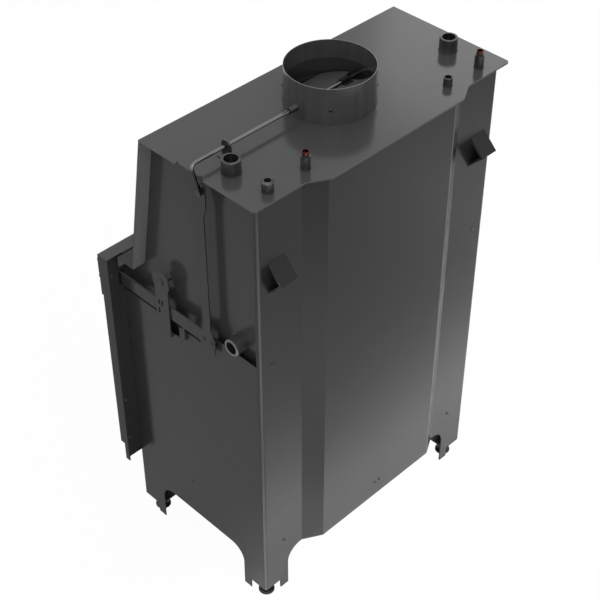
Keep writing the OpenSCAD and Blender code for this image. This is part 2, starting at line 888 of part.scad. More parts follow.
// The leaf: a slab with a round hinge edge, a body behind it and the window
module door_leaf() {
  back = yf - frame_d - leaf_gap;
  front = yf - frame_d - leaf_t;
  bx = frame_in - body_gap;
  win_w = mouth_w - 2 * window_in;
  win_z = mouth_z + 2 * window_in;
  win_h = mouth_h - 4 * window_in;
  color([0.18, 0.18, 0.19]) difference() {
    union() {
      span([hinge_x, front, leaf_z], [fw - leaf_side, back, leaf_z + leaf_h]);
      translate([hinge_x, yf - hinge_u, leaf_z]) cylinder(r = leaf_r - seat, h = leaf_h);
      span([-bx, back - over, leaf_z + body_low],
        [bx, yf - body_back, leaf_z + leaf_h - body_gap]);
    }
    span([-win_w / 2, front - over, win_z], [win_w / 2, yf, win_z + win_h]);
    window_bevel(win_w, win_z, win_h, front);
    span([-win_w / 2 - window_lap, yf - body_back - glass_t, win_z - window_lap],
      [win_w / 2 + window_lap, yf, win_z + win_h + window_lap]);
    translate([hinge_x, yf - hinge_u, leaf_z - over])
      cylinder(r = hinge_pin_d / 2 + fit, h = hinge_in + 2 * over);
    translate([hinge_x, yf - hinge_u, leaf_z + leaf_h - hinge_in - over])
      cylinder(r = hinge_pin_d / 2 + fit, h = hinge_in + 2 * over);
    translate([handle_x, yf, handle_z]) rotate([90, 0, 0])
      cylinder(r = spindle_d / 2 + fit, h = frame_d + leaf_t + over);
  }
}

// Bevel round the front of the window: two crossed prisms leave a mitred frustum
module window_bevel(w, z, h, front) {
  side = w / 2 + bevel + over;
  intersection() {
    translate([0, 0, z - bevel - over]) linear_extrude(h + 2 * bevel + 2 * over)
      polygon([[-side, front - over], [side, front - over], [w / 2, front + bevel],
        [-w / 2, front + bevel]]);
    yz(-side, 2 * side)
      polygon([[front - over, z - bevel - over], [front - over, z + h + bevel + over],
        [front + bevel, z + h], [front + bevel, z]]);
  }
}

module door_glass() {
  win_w = mouth_w - 2 * window_in;
  win_z = mouth_z + 2 * window_in;
  win_h = mouth_h - 4 * window_in;
  color([0.5, 0.55, 0.6, 0.4])
    span([-win_w / 2 - window_lap + over, yf - body_back - glass_t, win_z - window_lap + over],
      [win_w / 2 + window_lap - over, yf - body_back, win_z + win_h + window_lap - over]);
}

module door_seal() {
  x = mouth_w / 2 + seal_out;
  z0 = mouth_z - seal_out_z;
  z1 = mouth_z + mouth_h + seal_out_z;
  color([0.75, 0.74, 0.70]) difference() {
    span([-x - seal_w, yf - body_back, z0 - seal_w], [x + seal_w, yf - seat, z1 + seal_w]);
    span([-x, yf - body_back - over, z0], [x, yf + over, z1]);
  }
}

module glass_clips() {
  win_w = mouth_w - 2 * window_in;
  step = mouth_h / (clip_n + 1);
  color([0.6, 0.6, 0.6]) both_sides() for (i = [1 : clip_n])
    translate([win_w / 2 + over, yf - body_back, mouth_z + i * step - glass_clip_w / 2])
      cube([glass_clip_l, glass_clip_t, glass_clip_w]);
}

// Upright grip on a turning spindle through the door
module door_handle() {
  hub = yf - frame_d - leaf_t;
  color([0.55, 0.55, 0.56]) translate([handle_x, 0, handle_z]) {
    translate([0, yf - body_back + latch_t, 0]) rotate([90, 0, 0])
      cylinder(d = spindle_d, h = handle_out - body_back + latch_t);
    translate([0, hub - seat, 0]) rotate([90, 0, 0])
      cylinder(r = knob_r, h = handle_out - frame_d - leaf_t - 2 * seat);
    translate([0, yf - handle_out, -grip_l / 2]) cylinder(r = handle_r, h = grip_l);
    for (s = [-1, 1]) translate([0, yf - handle_out, s * grip_l / 2]) sphere(handle_r);
  }
}

// Tongue on the spindle; it stands upright at rest, free of the frame
module latch_cam() {
  color([0.5, 0.5, 0.5]) translate([handle_x, yf - body_back + seat, handle_z])
    rotate([-90, 0, 0]) linear_extrude(latch_t - seat) difference() {
      union() {
        circle(d = latch_w);
        translate([-latch_w / 2, -latch_l]) square([latch_w, latch_l]);
      }
      circle(d = spindle_d);
    }
}

module pull_bar() {
  color([0.36, 0.37, 0.38])
    span([bar_x, yf - grip_axis, bar_z - bar_h / 2],
      [yoke_x, yoke_y + foot_w / 2 - bar_end, bar_z + bar_h / 2]);
}

// Slotted yoke that turns the crank
module yoke_bar() {
  top = zu - head_drop;
  foot_z = bar_z - bar_h / 2 - foot_below;
  foot_top = foot_z + foot_rise;
  head_y = yoke_y - yoke_lean;
  color([0.36, 0.37, 0.38]) {
    yz(yoke_x, yoke_t) difference() {
      union() {
        translate([head_y - head_w / 2, top - head_h]) square([head_w, head_h - head_w / 2]);
        translate([head_y, top - head_w / 2]) circle(d = head_w);
        polygon([[yoke_y - foot_w / 2, foot_z], [yoke_y + foot_w / 2, foot_z],
          [yoke_y + foot_w / 2, foot_top], [yoke_y + yoke_w / 2, foot_top + shoulder],
          [head_y + yoke_w / 2, top - head_h - shoulder], [head_y + head_w / 2, top - head_h],
          [head_y - head_w / 2, top - head_h], [head_y - yoke_w / 2, top - head_h - shoulder],
          [yoke_y - yoke_w / 2, foot_top + shoulder], [yoke_y - foot_w / 2, foot_top]]);
      }
      translate([slot_y - slot_w / 2, slot_low]) square([slot_w, slot_top - slot_low]);
      for (z = [slot_low, slot_top]) translate([slot_y, z]) circle(d = slot_w + slot_play);
    }
    for (s = [-1, 1])
      translate([0, yoke_y + s * foot_w / 4, bar_z]) along_x(yoke_x + yoke_t, rivet_t, rivet_d / 2);
  }
}

module pull_grip() {
  gx = bar_x + bar_t / 2;
  color([0.2, 0.2, 0.21]) difference() {
    translate([gx, yf - grip_axis, 0]) {
      translate([0, 0, grip_z - grip_span / 2]) cylinder(r = grip_r, h = grip_span);
      for (s = [-1, 1]) translate([0, 0, grip_z + s * grip_span / 2]) sphere(ball_r);
      translate([-grip_hub / 2, -grip_hub / 2, grip_z - bar_h / 2])
        cube([grip_hub, 2 * grip_hub, bar_h]);
    }
    pull_bar();
  }
}

// Rod, bent down into a crank, with the pin that works in the yoke
module damper_rod() {
  pin_in = yoke_x - washer_gap - washer_t - over;
  color([0.55, 0.55, 0.56]) translate([0, flue_y, rod_z]) {
    along_x(-flue_r, flue_r + crank_x, rod_r);
    translate([crank_x, 0, 0]) sphere(rod_r + fit);
    translate([crank_x, 0, 0]) rotate([crank_rest, 0, 0])
      rotate([0, atan2(crank_lean, crank_r), 0]) mirror([0, 0, 1])
      cylinder(r = rod_r, h = norm([crank_lean, crank_r]));
    rotate([crank_rest, 0, 0]) translate([0, 0, -crank_r]) {
      along_x(pin_in, pin_x - pin_in, rod_r);
      along_x(pin_x - hub_l / 2, hub_l, hub_r);
      along_x(yoke_x - washer_gap - washer_t, washer_t, hub_r);
    }
  }
}

module damper_disc() {
  r = flue_r - flue_t - disc_gap;
  color([0.32, 0.32, 0.33]) translate([0, flue_y, rod_z]) rotate([disc_tilt, 0, 0])
    translate([0, 0, -rod_r - disc_t]) difference() {
      cylinder(r = r, h = disc_t, $fn = 128);
      translate([-r, -r - over, -over])
        cube([2 * r, r * (1 - disc_chord_share) + over, disc_t + 2 * over]);
      translate([-r, 0, -over]) cylinder(r = disc_notch_r, h = disc_t + 2 * over);
    }
}

// Strap over the rod, screwed flat on the disc
module damper_clip() {
  hump = rod_r + clip_t;
  color([0.25, 0.25, 0.26]) translate([0, flue_y, rod_z]) rotate([disc_tilt, 0, 0]) difference() {
    union() {
      translate([clip_x, -clip_w / 2, -rod_r]) cube([clip_l, clip_w, clip_t]);
      translate([clip_x, -hump, -rod_r]) cube([clip_l, 2 * hump, hump + rod_r]);
    }
    translate([clip_x - over, -rod_r, -rod_r - over]) cube([clip_l + 2 * over, 2 * rod_r, rod_d + over]);
  }
}

module grate() {
  w = grate_w - 2 * grate_gap;
  d = grate_d - 2 * grate_gap;
  pitch = w / (grate_bars + 1);
  color([0.15, 0.15, 0.15]) translate([0, grate_y, hearth_z]) difference() {
    union() {
      translate([-w / 2, -d / 2, -grate_t]) cube([w, d, grate_t]);
      translate([-w / 2 - grate_rim, -d / 2 - grate_rim, 0])
        cube([w + 2 * grate_rim, d + 2 * grate_rim, grate_rim_t]);
    }
    slot = pitch * grate_slot_share;
    len = d * grate_slot_l_share;
    for (i = [1 : grate_bars])
      translate([i * pitch - w / 2 - slot / 2, -len / 2, -grate_t - over])
        cube([slot, len, grate_t + grate_rim_t + 2 * over]);
  }
}

module ash_pan() {
  w = grate_w - 2 * pan_gap;
  d = grate_d - 2 * pan_gap;
  color([0.5, 0.5, 0.5]) translate([-w / 2, grate_y - d / 2, base_z + base_t]) difference() {
    cube([w, d, pan_h]);
    translate([pan_t, pan_t, pan_t]) cube([w - 2 * pan_t, d - 2 * pan_t, pan_h]);
  }
}

// Low fender that keeps logs off the glass
module log_guard() {
  x = mouth_w / 2 - guard_side;
  y = yf + plate4 + guard_in;
  color([0.15, 0.15, 0.15]) {
    span([-x, y, hearth_z], [x, y + guard_t, hearth_z + guard_h]);
    span([-x, y - guard_in / 2, hearth_z], [x, y, hearth_z + guard_t]);
  }
}

// Guides that hold the air slide against the front plate
module air_rails() {
  color([0.3, 0.3, 0.3]) for (s = [0, 1]) translate([0, 0, air_z]) mirror([0, 0, s])
    translate([-rail_l / 2, yf, air_h / 2 + air_play]) {
      translate([0, -rail_t, 0]) cube([rail_l, rail_t, rail_t]);
      translate([0, -rail_t, -rail_lip]) cube([rail_l, rail_t - air_t - 2 * air_play, rail_lip]);
    }
}

module air_slide() {
  color([0.5, 0.5, 0.5]) {
    difference() {
      span([-air_w / 2, yf - air_t - seat, air_z - air_h / 2],
        [air_w / 2, yf - seat, air_z + air_h / 2]);
      air_slots(1, -air_travel, yf - air_t - 2 * seat, air_t + 2 * seat);
    }
    translate([0, yf - air_t - seat, air_z]) rotate([90, 0, 0])
      cylinder(d = stem_d, h = knob_u - air_t);
    translate([0, yf - knob_u, air_z]) rotate([90, 0, 0]) cylinder(d = knob_d, h = knob_l);
  }
}

// Bracket plates with weld nuts, one in each leg
module foot_brackets() {
  color([0.2, 0.2, 0.2]) for (i = [0, 1]) {
    y0 = i == 0 ? yf + plate4 : yr - rear_t - bracket_w;
    both_sides() difference() {
      union() {
        span([hw - sheet_t - bracket_w, y0, bracket_z],
          [hw - (i == 0 ? sheet_t : corner_r), y0 + bracket_w, bracket_z + bracket_t]);
        translate([hw - foot_in, foot_y[i], bracket_z + bracket_t])
          cylinder(d = nut_d, h = nut_h, $fn = 6);
      }
      translate([hw - foot_in, foot_y[i], bracket_z - over])
        cylinder(r = foot_stem_d / 2 + fit, h = bracket_t + nut_h + 2 * over);
    }
  }
}

// Levelling foot: disc, collar and screw on one axis
module foot(x, y) {
  stem = bracket_z + bracket_t + nut_h + foot_reach;
  color([0.15, 0.15, 0.15]) translate([x, y, 0]) rotate_extrude()
    polygon([[0, 0], [foot_d / 2, 0], [foot_d / 2, foot_h / 2], [foot_d / 4, foot_h],
      [foot_stem_d / 2, foot_h], [foot_stem_d / 2, stem - over], [foot_stem_d / 2 - over, stem],
      [0, stem]]);
}

module foot_front_right() {
  foot(hw - foot_in, foot_y[0]);
}

module foot_front_left() {
  foot(foot_in - hw, foot_y[0]);
}

module foot_rear_right() {
  foot(hw - foot_in, foot_y[1]);
}

module foot_rear_left() {
  foot(foot_in - hw, foot_y[1]);
}

// Pieces of angle iron welded to the rear wall by both edges
module lifting_lugs() {
  reach = lug_leg / sqrt(2);
  t = lug_t * sqrt(2);
  z = plate_z - lug_down;
  color([0.30, 0.31, 0.32]) both_sides() yz(lug_x - lug_w / 2, lug_w)
    polygon([[yr, z + reach], [yr + reach, z], [yr, z - reach], [yr, z - reach + t],
      [yr + reach - t, z], [yr, z + reach - t]]);
}

flat_screws = [[334, 794], [304, 187]];
frame_screw_z = [281, 412, 811];
frame_screw_in = 9;
mid_screw_x = 8;
mid_screw_z = 183;
side_screw_back = 276;
side_screw_z = 245;
shell_bolt_x = 372;
shell_bolt_z = 978;

module panel_screws() {
  color([0.15, 0.15, 0.15]) both_sides() {
    for (p = flat_screws) translate([p[0], yr + screw_h, p[1]]) rotate([90, 0, 0])
      cylinder(d = screw_d, h = screw_h);
    translate([mid_screw_x, yr + bulge_out + screw_h, mid_screw_z]) rotate([90, 0, 0])
      cylinder(d = screw_d, h = screw_h);
    translate([0, pr - side_screw_back, side_screw_z]) along_x(hw, screw_h, screw_d / 2);
    for (z = frame_screw_z) translate([fw - frame_screw_in, yf + screw_h, z]) rotate([90, 0, 0])
      cylinder(d = screw_d, h = screw_h);
    translate([shell_bolt_x, pf - slope_k * (zu - shell_bolt_z), shell_bolt_z])
      rotate([90 - atan(slope_k), 0, 0]) cylinder(d = bolt_d, h = bolt_h, $fn = 6);
  }
}

top_plate();
rear_wall();
side_panel_right();
side_panel_left();
tank_side_right();
tank_side_left();
front_shell();
front_plate();
hearth_plate();
base_plate();
firebox_side_right();
firebox_side_left();
firebox_back();
firebox_crown();
flue_throat();
lintel_shell();
water_tubes();
baffle_plate();
cooling_coil();
coil_sleeves();
flow_sockets();
return_sockets();
sensor_socket();
probe_socket();
flue_collar();
collar_screws();
rod_bush();
rod_bracket();
bar_guide();
bar_rest();
front_frame();
front_header();
hinge_bracket();
hinge_pins();
ash_pan();
log_guard();
foot_brackets();
lifting_lugs();
air_rails();
panel_screws();
door_leaf();
door_glass();
door_seal();
glass_clips();
door_handle();
latch_cam();
pull_bar();
yoke_bar();
pull_grip();
damper_rod();
damper_disc();
damper_clip();
air_slide();
grate();
foot_front_right();
foot_front_left();
foot_rear_right();
foot_rear_left();
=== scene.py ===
"""Looks of the water-jacket fireplace insert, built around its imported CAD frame."""

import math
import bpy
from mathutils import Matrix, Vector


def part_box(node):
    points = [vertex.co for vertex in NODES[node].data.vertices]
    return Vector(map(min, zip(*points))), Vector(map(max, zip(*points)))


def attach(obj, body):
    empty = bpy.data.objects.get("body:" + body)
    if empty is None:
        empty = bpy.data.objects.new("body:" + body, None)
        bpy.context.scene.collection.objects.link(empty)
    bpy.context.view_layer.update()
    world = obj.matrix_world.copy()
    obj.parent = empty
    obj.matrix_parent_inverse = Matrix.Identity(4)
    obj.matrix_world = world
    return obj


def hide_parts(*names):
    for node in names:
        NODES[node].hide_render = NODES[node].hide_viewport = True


bl_info = {
    "name": "Fireplace Insert Looks",
    "version": (1, 0, 0),
    "blender": (4, 5, 0),
    "location": "3D View > Sidebar > Insert",
    "description": "Dresses the fireplace insert with its steel, fittings and welds",
    "category": "Object",
}

import bmesh
import bpy
from bpy.props import FloatProperty, FloatVectorProperty, IntProperty, PointerProperty
from mathutils import Vector

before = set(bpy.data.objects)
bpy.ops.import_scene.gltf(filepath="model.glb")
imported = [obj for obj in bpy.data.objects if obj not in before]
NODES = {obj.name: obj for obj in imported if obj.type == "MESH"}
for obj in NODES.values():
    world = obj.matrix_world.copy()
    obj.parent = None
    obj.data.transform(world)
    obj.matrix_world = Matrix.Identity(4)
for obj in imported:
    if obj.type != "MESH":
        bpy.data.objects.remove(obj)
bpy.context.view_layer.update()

# Camera of the photograph, fitted to the edges of the insert
PHOTO_WIDTH = 600
FOCAL_PIXELS = 1399.0
CAMERA_PLACE = (1.8219, 1.8243, 2.8604)
CAMERA_VIEW = (-0.53321, -0.53447, -0.65576)
SENSOR_WIDTH = 36.0

# Places that repeat the source's named sizes, in metres
ROD_Y = 0.087
ROD_Z = 1.264
ROD_R = 0.004
CRANK_REST = math.radians(12)
CRANK_R = 0.065
CRANK_X = 0.3912
PIN_X = 0.3852
HUB_R = 0.0075
HUB_L = 0.010
YOKE_X = 0.376
FLUE_R = 0.100
FLUE_INNER_R = 0.098
SPIGOT_Z = 1.281
SPIGOT_IN = 0.001  # how far the collar is drawn in above SPIGOT_Z
PLATE_Z = 1.240
TANK_X = 0.352
REAR_Y = 0.248
SOCKET_R = 0.0205
SOCKET_BORE_R = 0.01515
SOCKET_L = 0.033
FLOW_PLACE = (0.328, 0.135)
RETURN_PLACE = (0.176, 0.829)
SMALL_BORE_R = 0.0075
SENSOR_PLACE = (0.320, 0.230)
SENSOR_R = 0.0125
SENSOR_L = 0.025
PROBE_PLACE = (-0.216, 0.230)
PROBE_R = 0.0100
PROBE_L = 0.021
COIL_PLACES = ((0.216, 0.230), (-0.320, 0.230))
SLEEVE_R = 0.0105
LUG_SPAN = (0.2925, 0.3395)
BULGE_X = 0.195
SLOPE = math.atan(65 / 372)  # lean of the tank's front, as run over rise
FOOT_AXES = {  # body of each foot and the place of its axis
    "foot_front_right": ("foot_fr", 0.338, -0.179),
    "foot_front_left": ("foot_fl", -0.338, -0.179),
    "foot_rear_right": ("foot_rr", 0.338, 0.218),
    "foot_rear_left": ("foot_rl", -0.338, 0.218),
}

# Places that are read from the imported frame
COIL_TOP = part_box("cooling_coil")[1].z
COLLAR_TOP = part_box("flue_collar")[1].z
CORNER_X, BULGE_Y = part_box("rear_wall")[1].xy

# Threads: 1 inch pipe, half inch pipe and the feet's M12
PIPE_PITCH = 0.002309
SMALL_PITCH = 0.001814
FOOT_PITCH = 0.00175
THREAD_DEPTH = 0.0009

# Screw heads as radius and height; a solid thicker than SCREW_T is one of the slanted bolts
SCREW_HEAD = (0.004, 0.002)
SCREW_T = 0.004
BOLT_HEAD = (0.008, 0.009)

# Foot: radius of its thread, height of the disc's neck, and the disc as radius and height
FOOT_R = 0.0060
FOOT_NECK = 0.0120
FOOT_DISC = [
    (0.0004, 0.0), (0.0192, 0.0), (0.0200, 0.0008), (0.0200, 0.0036), (0.0194, 0.0044),
    (0.0112, 0.0076), (0.0100, 0.0080), (0.0066, 0.0080), (0.0060, 0.0086), (0.0054, 0.0100),
    (0.0054, FOOT_NECK),
]

# Weld beads: rings in one ripple, and their spacing as a share of the bead's radius
RIPPLE = 4
BEAD_STEP = 0.42

# Bevels: the least angle of a broken edge, and of the rear cover's shallow bends
EDGE_ANGLE = math.radians(40)
FOLD_ANGLE = math.radians(18)

# Floor: half its width, its height, its white for the camera and how much of that is flat
FLOOR_HALF = 12.0
FLOOR_Z = -0.0005
FLOOR_WHITE = 1.02
FLOOR_FLAT = 0.94

# Share of white that the sky adds in reflections
SKY_GLINT = 0.15

# Lamps: place, aim, size and power as a share of the key light's; the floor lamps have no glint
LAMPS = {
    "key": ((2.4, 3.0, 4.4), (0, 0.1, 0.7), (3.0, 3.0), 0.5),
    "side": ((3.2, -3.0, 2.2), (0, 0, 0.7), (2.2, 2.2), 0.20),
    "left_fill": ((-3.6, -1.6, 2.8), (0, 0, 0.9), (2.0, 2.0), 0.22),
    "floor_rear": ((-0.05, 0.42, 0.16), (-0.05, 0.42, 0), (0.9, 0.16), 0.028),
    "floor_back": ((0.30, 1.10, 0.30), (0.30, 1.10, 0), (0.4, 0.7), 0.03),
    "floor_far": ((-1.40, 1.05, 0.30), (-1.40, 1.05, 0), (0.6, 0.5), 0.02),
    "floor_near": ((1.05, 0.95, 0.30), (1.05, 0.95, 0), (0.5, 0.5), 0.11),
    "floor_corner": ((0.56, 0.38, 0.12), (0.56, 0.38, 0), (0.24, 0.24), 0.016),
    "floor_left": ((-1.30, 0.42, 0.20), (-1.30, 0.42, 0), (1.6, 0.08), 0.07),
}


class Sock:
    """An output socket, or a number, that takes part in plain arithmetic."""

    def __init__(self, tree, out):
        self.tree = tree
        self.out = out

    def math(self, operation, *others, swap=False):
        """A Math node on this value and the others."""
        values = [self, *others]
        if swap:
            values.reverse()
        node = self.tree.nodes.new("ShaderNodeMath")
        node.operation = operation
        for slot, value in zip(node.inputs, values):
            feed(self.tree, slot, value)
        return Sock(self.tree, node.outputs[0])

    def __add__(self, other):
        return self.math("ADD", other)

    __radd__ = __add__

    def __sub__(self, other):
        return self.math("SUBTRACT", other)

    def __rsub__(self, other):
        return self.math("SUBTRACT", other, swap=True)

    def __mul__(self, other):
        return self.math("MULTIPLY", other)

    __rmul__ = __mul__

    def clamp(self, low=0.0, high=1.0):
        """This value held between two limits."""
        return self.math("MAXIMUM", low).math("MINIMUM", high)

    def step(self, low, high):
        """0 below low, 1 above high and a smooth ramp between them."""
        node = self.tree.nodes.new("ShaderNodeMapRange")
        node.interpolation_type = "SMOOTHSTEP"
        feed(self.tree, node.inputs["Value"], self)
        node.inputs["From Min"].default_value = low
        node.inputs["From Max"].default_value = high
        return Sock(self.tree, node.outputs[0])


def feed(tree, slot, value):
    """Links a Sock to an input, or sets the input to a number or colour."""
    if isinstance(value, Sock):
        tree.links.new(value.out, slot)
    elif hasattr(slot.default_value, "__len__"):
        slot.default_value = tuple(value)[: len(slot.default_value)]
    else:
        slot.default_value = value


class Finish:
    """A material that is built from shader expressions."""

    def __init__(self, name):
        self.material = bpy.data.materials.new(name)
        self.material.use_nodes = True
        self.tree = self.material.node_tree
        self.surface = self.tree.nodes["Principled BSDF"]
        self.output = self.tree.nodes["Material Output"]

    def node(self, kind, settings=None, inputs=None, out=0):
        """A node of any type: its settings first, then its inputs."""
        node = self.tree.nodes.new(kind)
        for key, value in (settings or {}).items():
            setattr(node, key, value)
        for key, value in (inputs or {}).items():
            feed(self.tree, node.inputs[key], value)
        return Sock(self.tree, node.outputs[out])

    def place(self):
        """The point on the surface, in metres, as the object's own coordinates."""
        return self.node("ShaderNodeTexCoord", out="Object")

    def stretched(self, scale):
        """The surface point with each axis scaled."""
        inputs = {0: self.place(), 1: scale}
        return self.node("ShaderNodeVectorMath", {"operation": "MULTIPLY"}, inputs)

    def noise(self, scale, detail=3.0, rough=0.55, where=None):
        """Soft noise from 0 to 1."""
        inputs = {"Scale": scale, "Detail": detail, "Roughness": rough}
        inputs["Vector"] = where or self.place()
        return self.node("ShaderNodeTexNoise", {}, inputs, out="Fac")

    def mix(self, factor, first, second):
        """A colour between two colours."""
        node = self.tree.nodes.new("ShaderNodeMix")
        node.data_type = "RGBA"
        feed(self.tree, node.inputs[0], factor)
        for slot, colour in ((node.inputs[6], first), (node.inputs[7], second)):
            feed(self.tree, slot, colour if isinstance(colour, Sock) else (*colour[:3], 1.0))
        return Sock(self.tree, node.outputs[2])

    def axis(self, index, vector=None):
        """One coordinate of a vector."""
        return self.node("ShaderNodeSeparateXYZ", {}, {0: vector or self.place()}, out=index)

    def normal(self, index):
        """One coordinate of the surface's normal."""
        return self.axis(index, self.node("ShaderNodeNewGeometry", out="Normal"))

    def bump(self, height, distance, strength):
        """A normal from a height in metres times distance."""
        inputs = {"Height": height, "Distance": distance, "Strength": strength}
        return self.node("ShaderNodeBump", {}, inputs)

    def grain(self, scale, distance, strength):
        """A normal from fine noise."""
        return self.bump(self.noise(scale, 2.0), distance, strength)

    def set(self, **values):
        """Feeds the Principled shader, with spaces written as underscores."""
        for key, value in values.items():
            feed(self.tree, self.surface.inputs[key.replace("_", " ")], value)

    def repaint(self, mask, colour):
        """Another base colour where the mask is 1."""
        base = Sock(self.tree, self.surface.inputs["Base Color"].links[0].from_socket)
        self.set(Base_Color=self.mix(mask, base, colour))


def shaded(colour, share):
    """A colour times a share, no channel above 1."""
    return tuple(min(1.0, c * share) for c in colour)


# ---------------------------------------------------------------- settings


class InsertSettings(bpy.types.PropertyGroup):
    """Sizes and colours that a user would change."""

    casing: FloatVectorProperty(
        name="Casing", description="Paint of the outer panels", subtype="COLOR",
        default=(0.031, 0.0315, 0.033),
    )
    # The top plate is drawn lighter than the casing's paint: painted light on the face that looks
    # up
    plate: FloatVectorProperty(
        name="Top plate", description="Paint of the top plate", subtype="COLOR",
        default=(0.082, 0.083, 0.085),
    )
    tank: FloatVectorProperty(
        name="Tank", description="Paint of the water tank", subtype="COLOR",
        default=(0.047, 0.047, 0.049),
    )
    black: FloatVectorProperty(
        name="Door frame", description="Paint of the frame and door", subtype="COLOR",
        default=(0.024, 0.024, 0.025),
    )
    copper: FloatVectorProperty(
        name="Copper", description="Colour of the coil's ends", subtype="COLOR",
        default=(0.20, 0.055, 0.034),
    )
    gloss: FloatProperty(
        name="Paint roughness", description="Mean roughness of the paint", min=0.05, max=0.9,
        default=0.22,
    )
    edge: FloatProperty(
        name="Edge radius", description="Rounding of sheet edges", subtype="DISTANCE",
        min=0.0, max=0.002, default=0.0006,
    )
    fold: FloatProperty(
        name="Fold radius", description="Rounding of the rear cover's bends", subtype="DISTANCE",
        min=0.0, max=0.003, default=0.0018,
    )
    bend: FloatProperty(
        name="Rod bend", description="Radius of the damper rod's bend", subtype="DISTANCE",
        min=0.005, max=0.02, default=0.011,
    )
    bead: FloatProperty(
        name="Weld bead", description="Radius of a large weld bead", subtype="DISTANCE",
        min=0.001, max=0.004, default=0.0015,
    )
    rope: FloatProperty(
        name="Rope lay", description="Length of one braid of the door's rope",
        subtype="DISTANCE", min=0.004, max=0.03, default=0.011,
    )
    turns: IntProperty(
        name="Sides", description="Sides of a turned piece", min=16, max=128, default=64,
    )
    key: FloatProperty(
        name="Key light", description="Power of the main lamp", min=0.0, default=60.0,
    )
    sky: FloatProperty(
        name="Sky light", description="Strength of the world's light", min=0.0, default=0.60,
    )


def settings():
    """The values of this scene's settings."""
    return bpy.context.scene.insert_settings


# ---------------------------------------------------------------- shapes


def frame_along(axis):
    """A rotation that takes +Z to the axis."""
    return Vector(axis).normalized().to_track_quat("Z", "Y").to_matrix()


def build(name, rings, loop=False, caps=True, turn=False, sharp=35.0):
    """A mesh from rings of points: loop joins the last ring to the first, turn flips its faces."""
    mesh = bmesh.new()
    rows = [[mesh.verts.new(point) for point in ring] for ring in rings]
    pairs = list(zip(rows, rows[1:])) + ([(rows[-1], rows[0])] if loop else [])
    for low, high in pairs:
        for i, point in enumerate(low):
            j = (i + 1) % len(low)
            mesh.faces.new((point, low[j], high[j], high[i]))
    if caps and not loop:
        mesh.faces.new(list(reversed(rows[0])))
        mesh.faces.new(rows[-1])
    if turn:
        bmesh.ops.reverse_faces(mesh, faces=mesh.faces)
    data = bpy.data.meshes.new(name)
    mesh.to_mesh(data)
    mesh.free()
    for face in data.polygons:
        face.use_smooth = True
    data.set_sharp_from_angle(angle=math.radians(sharp))
    return data


def turned(profile, place, axis, sides, shape=None):
    """Rings of a turned form: (radius, height) pairs round an axis; shape scales each radius."""
    base = frame_along(axis)
    rings = []
    for k, (radius, height) in enumerate(profile):
        ring = []
        for i in range(sides):
            a = math.tau * i / sides
            r = radius * (shape(k, a) if shape else 1.0)
            ring.append(Vector(place) + base @ Vector((r * math.cos(a), r * math.sin(a), height)))
        rings.append(ring)
    return rings


def band(inner, outer, start, end, edge):
    """Profile of a turned band with broken outer edges, up to its end face."""
    return [(inner, start), (outer - edge, start), (outer, start + edge), (outer, end - edge),
            (outer - edge, end)]


def hexagon(angle):
    """Radius of a hexagon whose corners lie at 1, at an angle."""
    return math.cos(math.pi / 6) / math.cos(angle % (math.pi / 3) - math.pi / 6)


def steady_frames(points, closed):
    """Tangent and two normals at each point of a path, turned as little as possible."""
    count = len(points)
    tangents = []
    for i in range(count):
        before = points[i - 1] if i or closed else points[i]
        after = points[(i + 1) % count] if i + 1 < count or closed else points[i]
        tangents.append((after - before).normalized())
    guide = Vector((0, 0, 1)) if abs(tangents[0].z) < 0.9 else Vector((1, 0, 0))
    side = tangents[0].cross(guide).normalized()
    frames = []
    for tangent in tangents:
        side = (side - tangent * side.dot(tangent)).normalized()
        frames.append((tangent, side, tangent.cross(side)))
    return frames


def swept(points, radius, sides=12, closed=False):
    """Rings of a round bar along a path; radius may be a function of the point's number."""
    rings = []
    for k, (point, (_, side, up)) in enumerate(zip(points, steady_frames(points, closed))):
        r = radius(k) if callable(radius) else radius
        ring = []
        for i in range(sides):
            a = math.tau * i / sides
            ring.append(point + side * (r * math.cos(a)) + up * (r * math.sin(a)))
        rings.append(ring)
    return rings


def bead_rings(points, radius, closed):
    """Rings of a weld bead: a rounded bar with crescent ripples."""
    rings = []
    for k, (point, (along, side, up)) in enumerate(zip(points, steady_frames(points, closed))):
        wave = 0.5 + 0.5 * math.cos(math.tau * k / RIPPLE)
        ring = []
        for i in range(10):
            a = math.tau * i / 10
            r = radius * (0.90 + 0.10 * wave)
            lag = along * (radius * 0.5 * math.cos(a) ** 2)
            ring.append(point + side * (r * math.cos(a)) + up * (r * math.sin(a)) - lag)
        rings.append(ring)
    return rings


def circle_path(centre, axis, radius, step):
    """Points round a circle, for a whole number of ripples."""
    count = RIPPLE * max(6, round(math.tau * radius / step / RIPPLE))
    base = frame_along(axis)
    places = []
    for i in range(count):
        a = math.tau * i / count
        arm = Vector((radius * math.cos(a), radius * math.sin(a), 0))
        places.append(Vector(centre) + base @ arm)
    return places


def line_path(start, end, step):
    """Points from one place to another."""
    start, end = Vector(start), Vector(end)
    count = max(2, round((end - start).length / step))
    return [start.lerp(end, i / count) for i in range(count + 1)]


def rounded(before, corner, after, radius, steps):
    """Points of the arc that rounds a path's corner."""
    into = (corner - before).normalized()
    out = (after - corner).normalized()
    turn = into.angle(out)
    side = (out - into * into.dot(out)).normalized()
    start = corner - into * (radius * math.tan(turn / 2))
    points = []
    for i in range(steps + 1):
        a = turn * i / steps
        points.append(start + into * (radius * math.sin(a)) + side * (radius * (1 - math.cos(a))))
    return points


def joined(name, meshes):
    """One mesh from several."""
    whole = bmesh.new()
    for data in meshes:
        whole.from_mesh(data)
        bpy.data.meshes.remove(data)
    data = bpy.data.meshes.new(name)
    whole.to_mesh(data)
    whole.free()
    return data


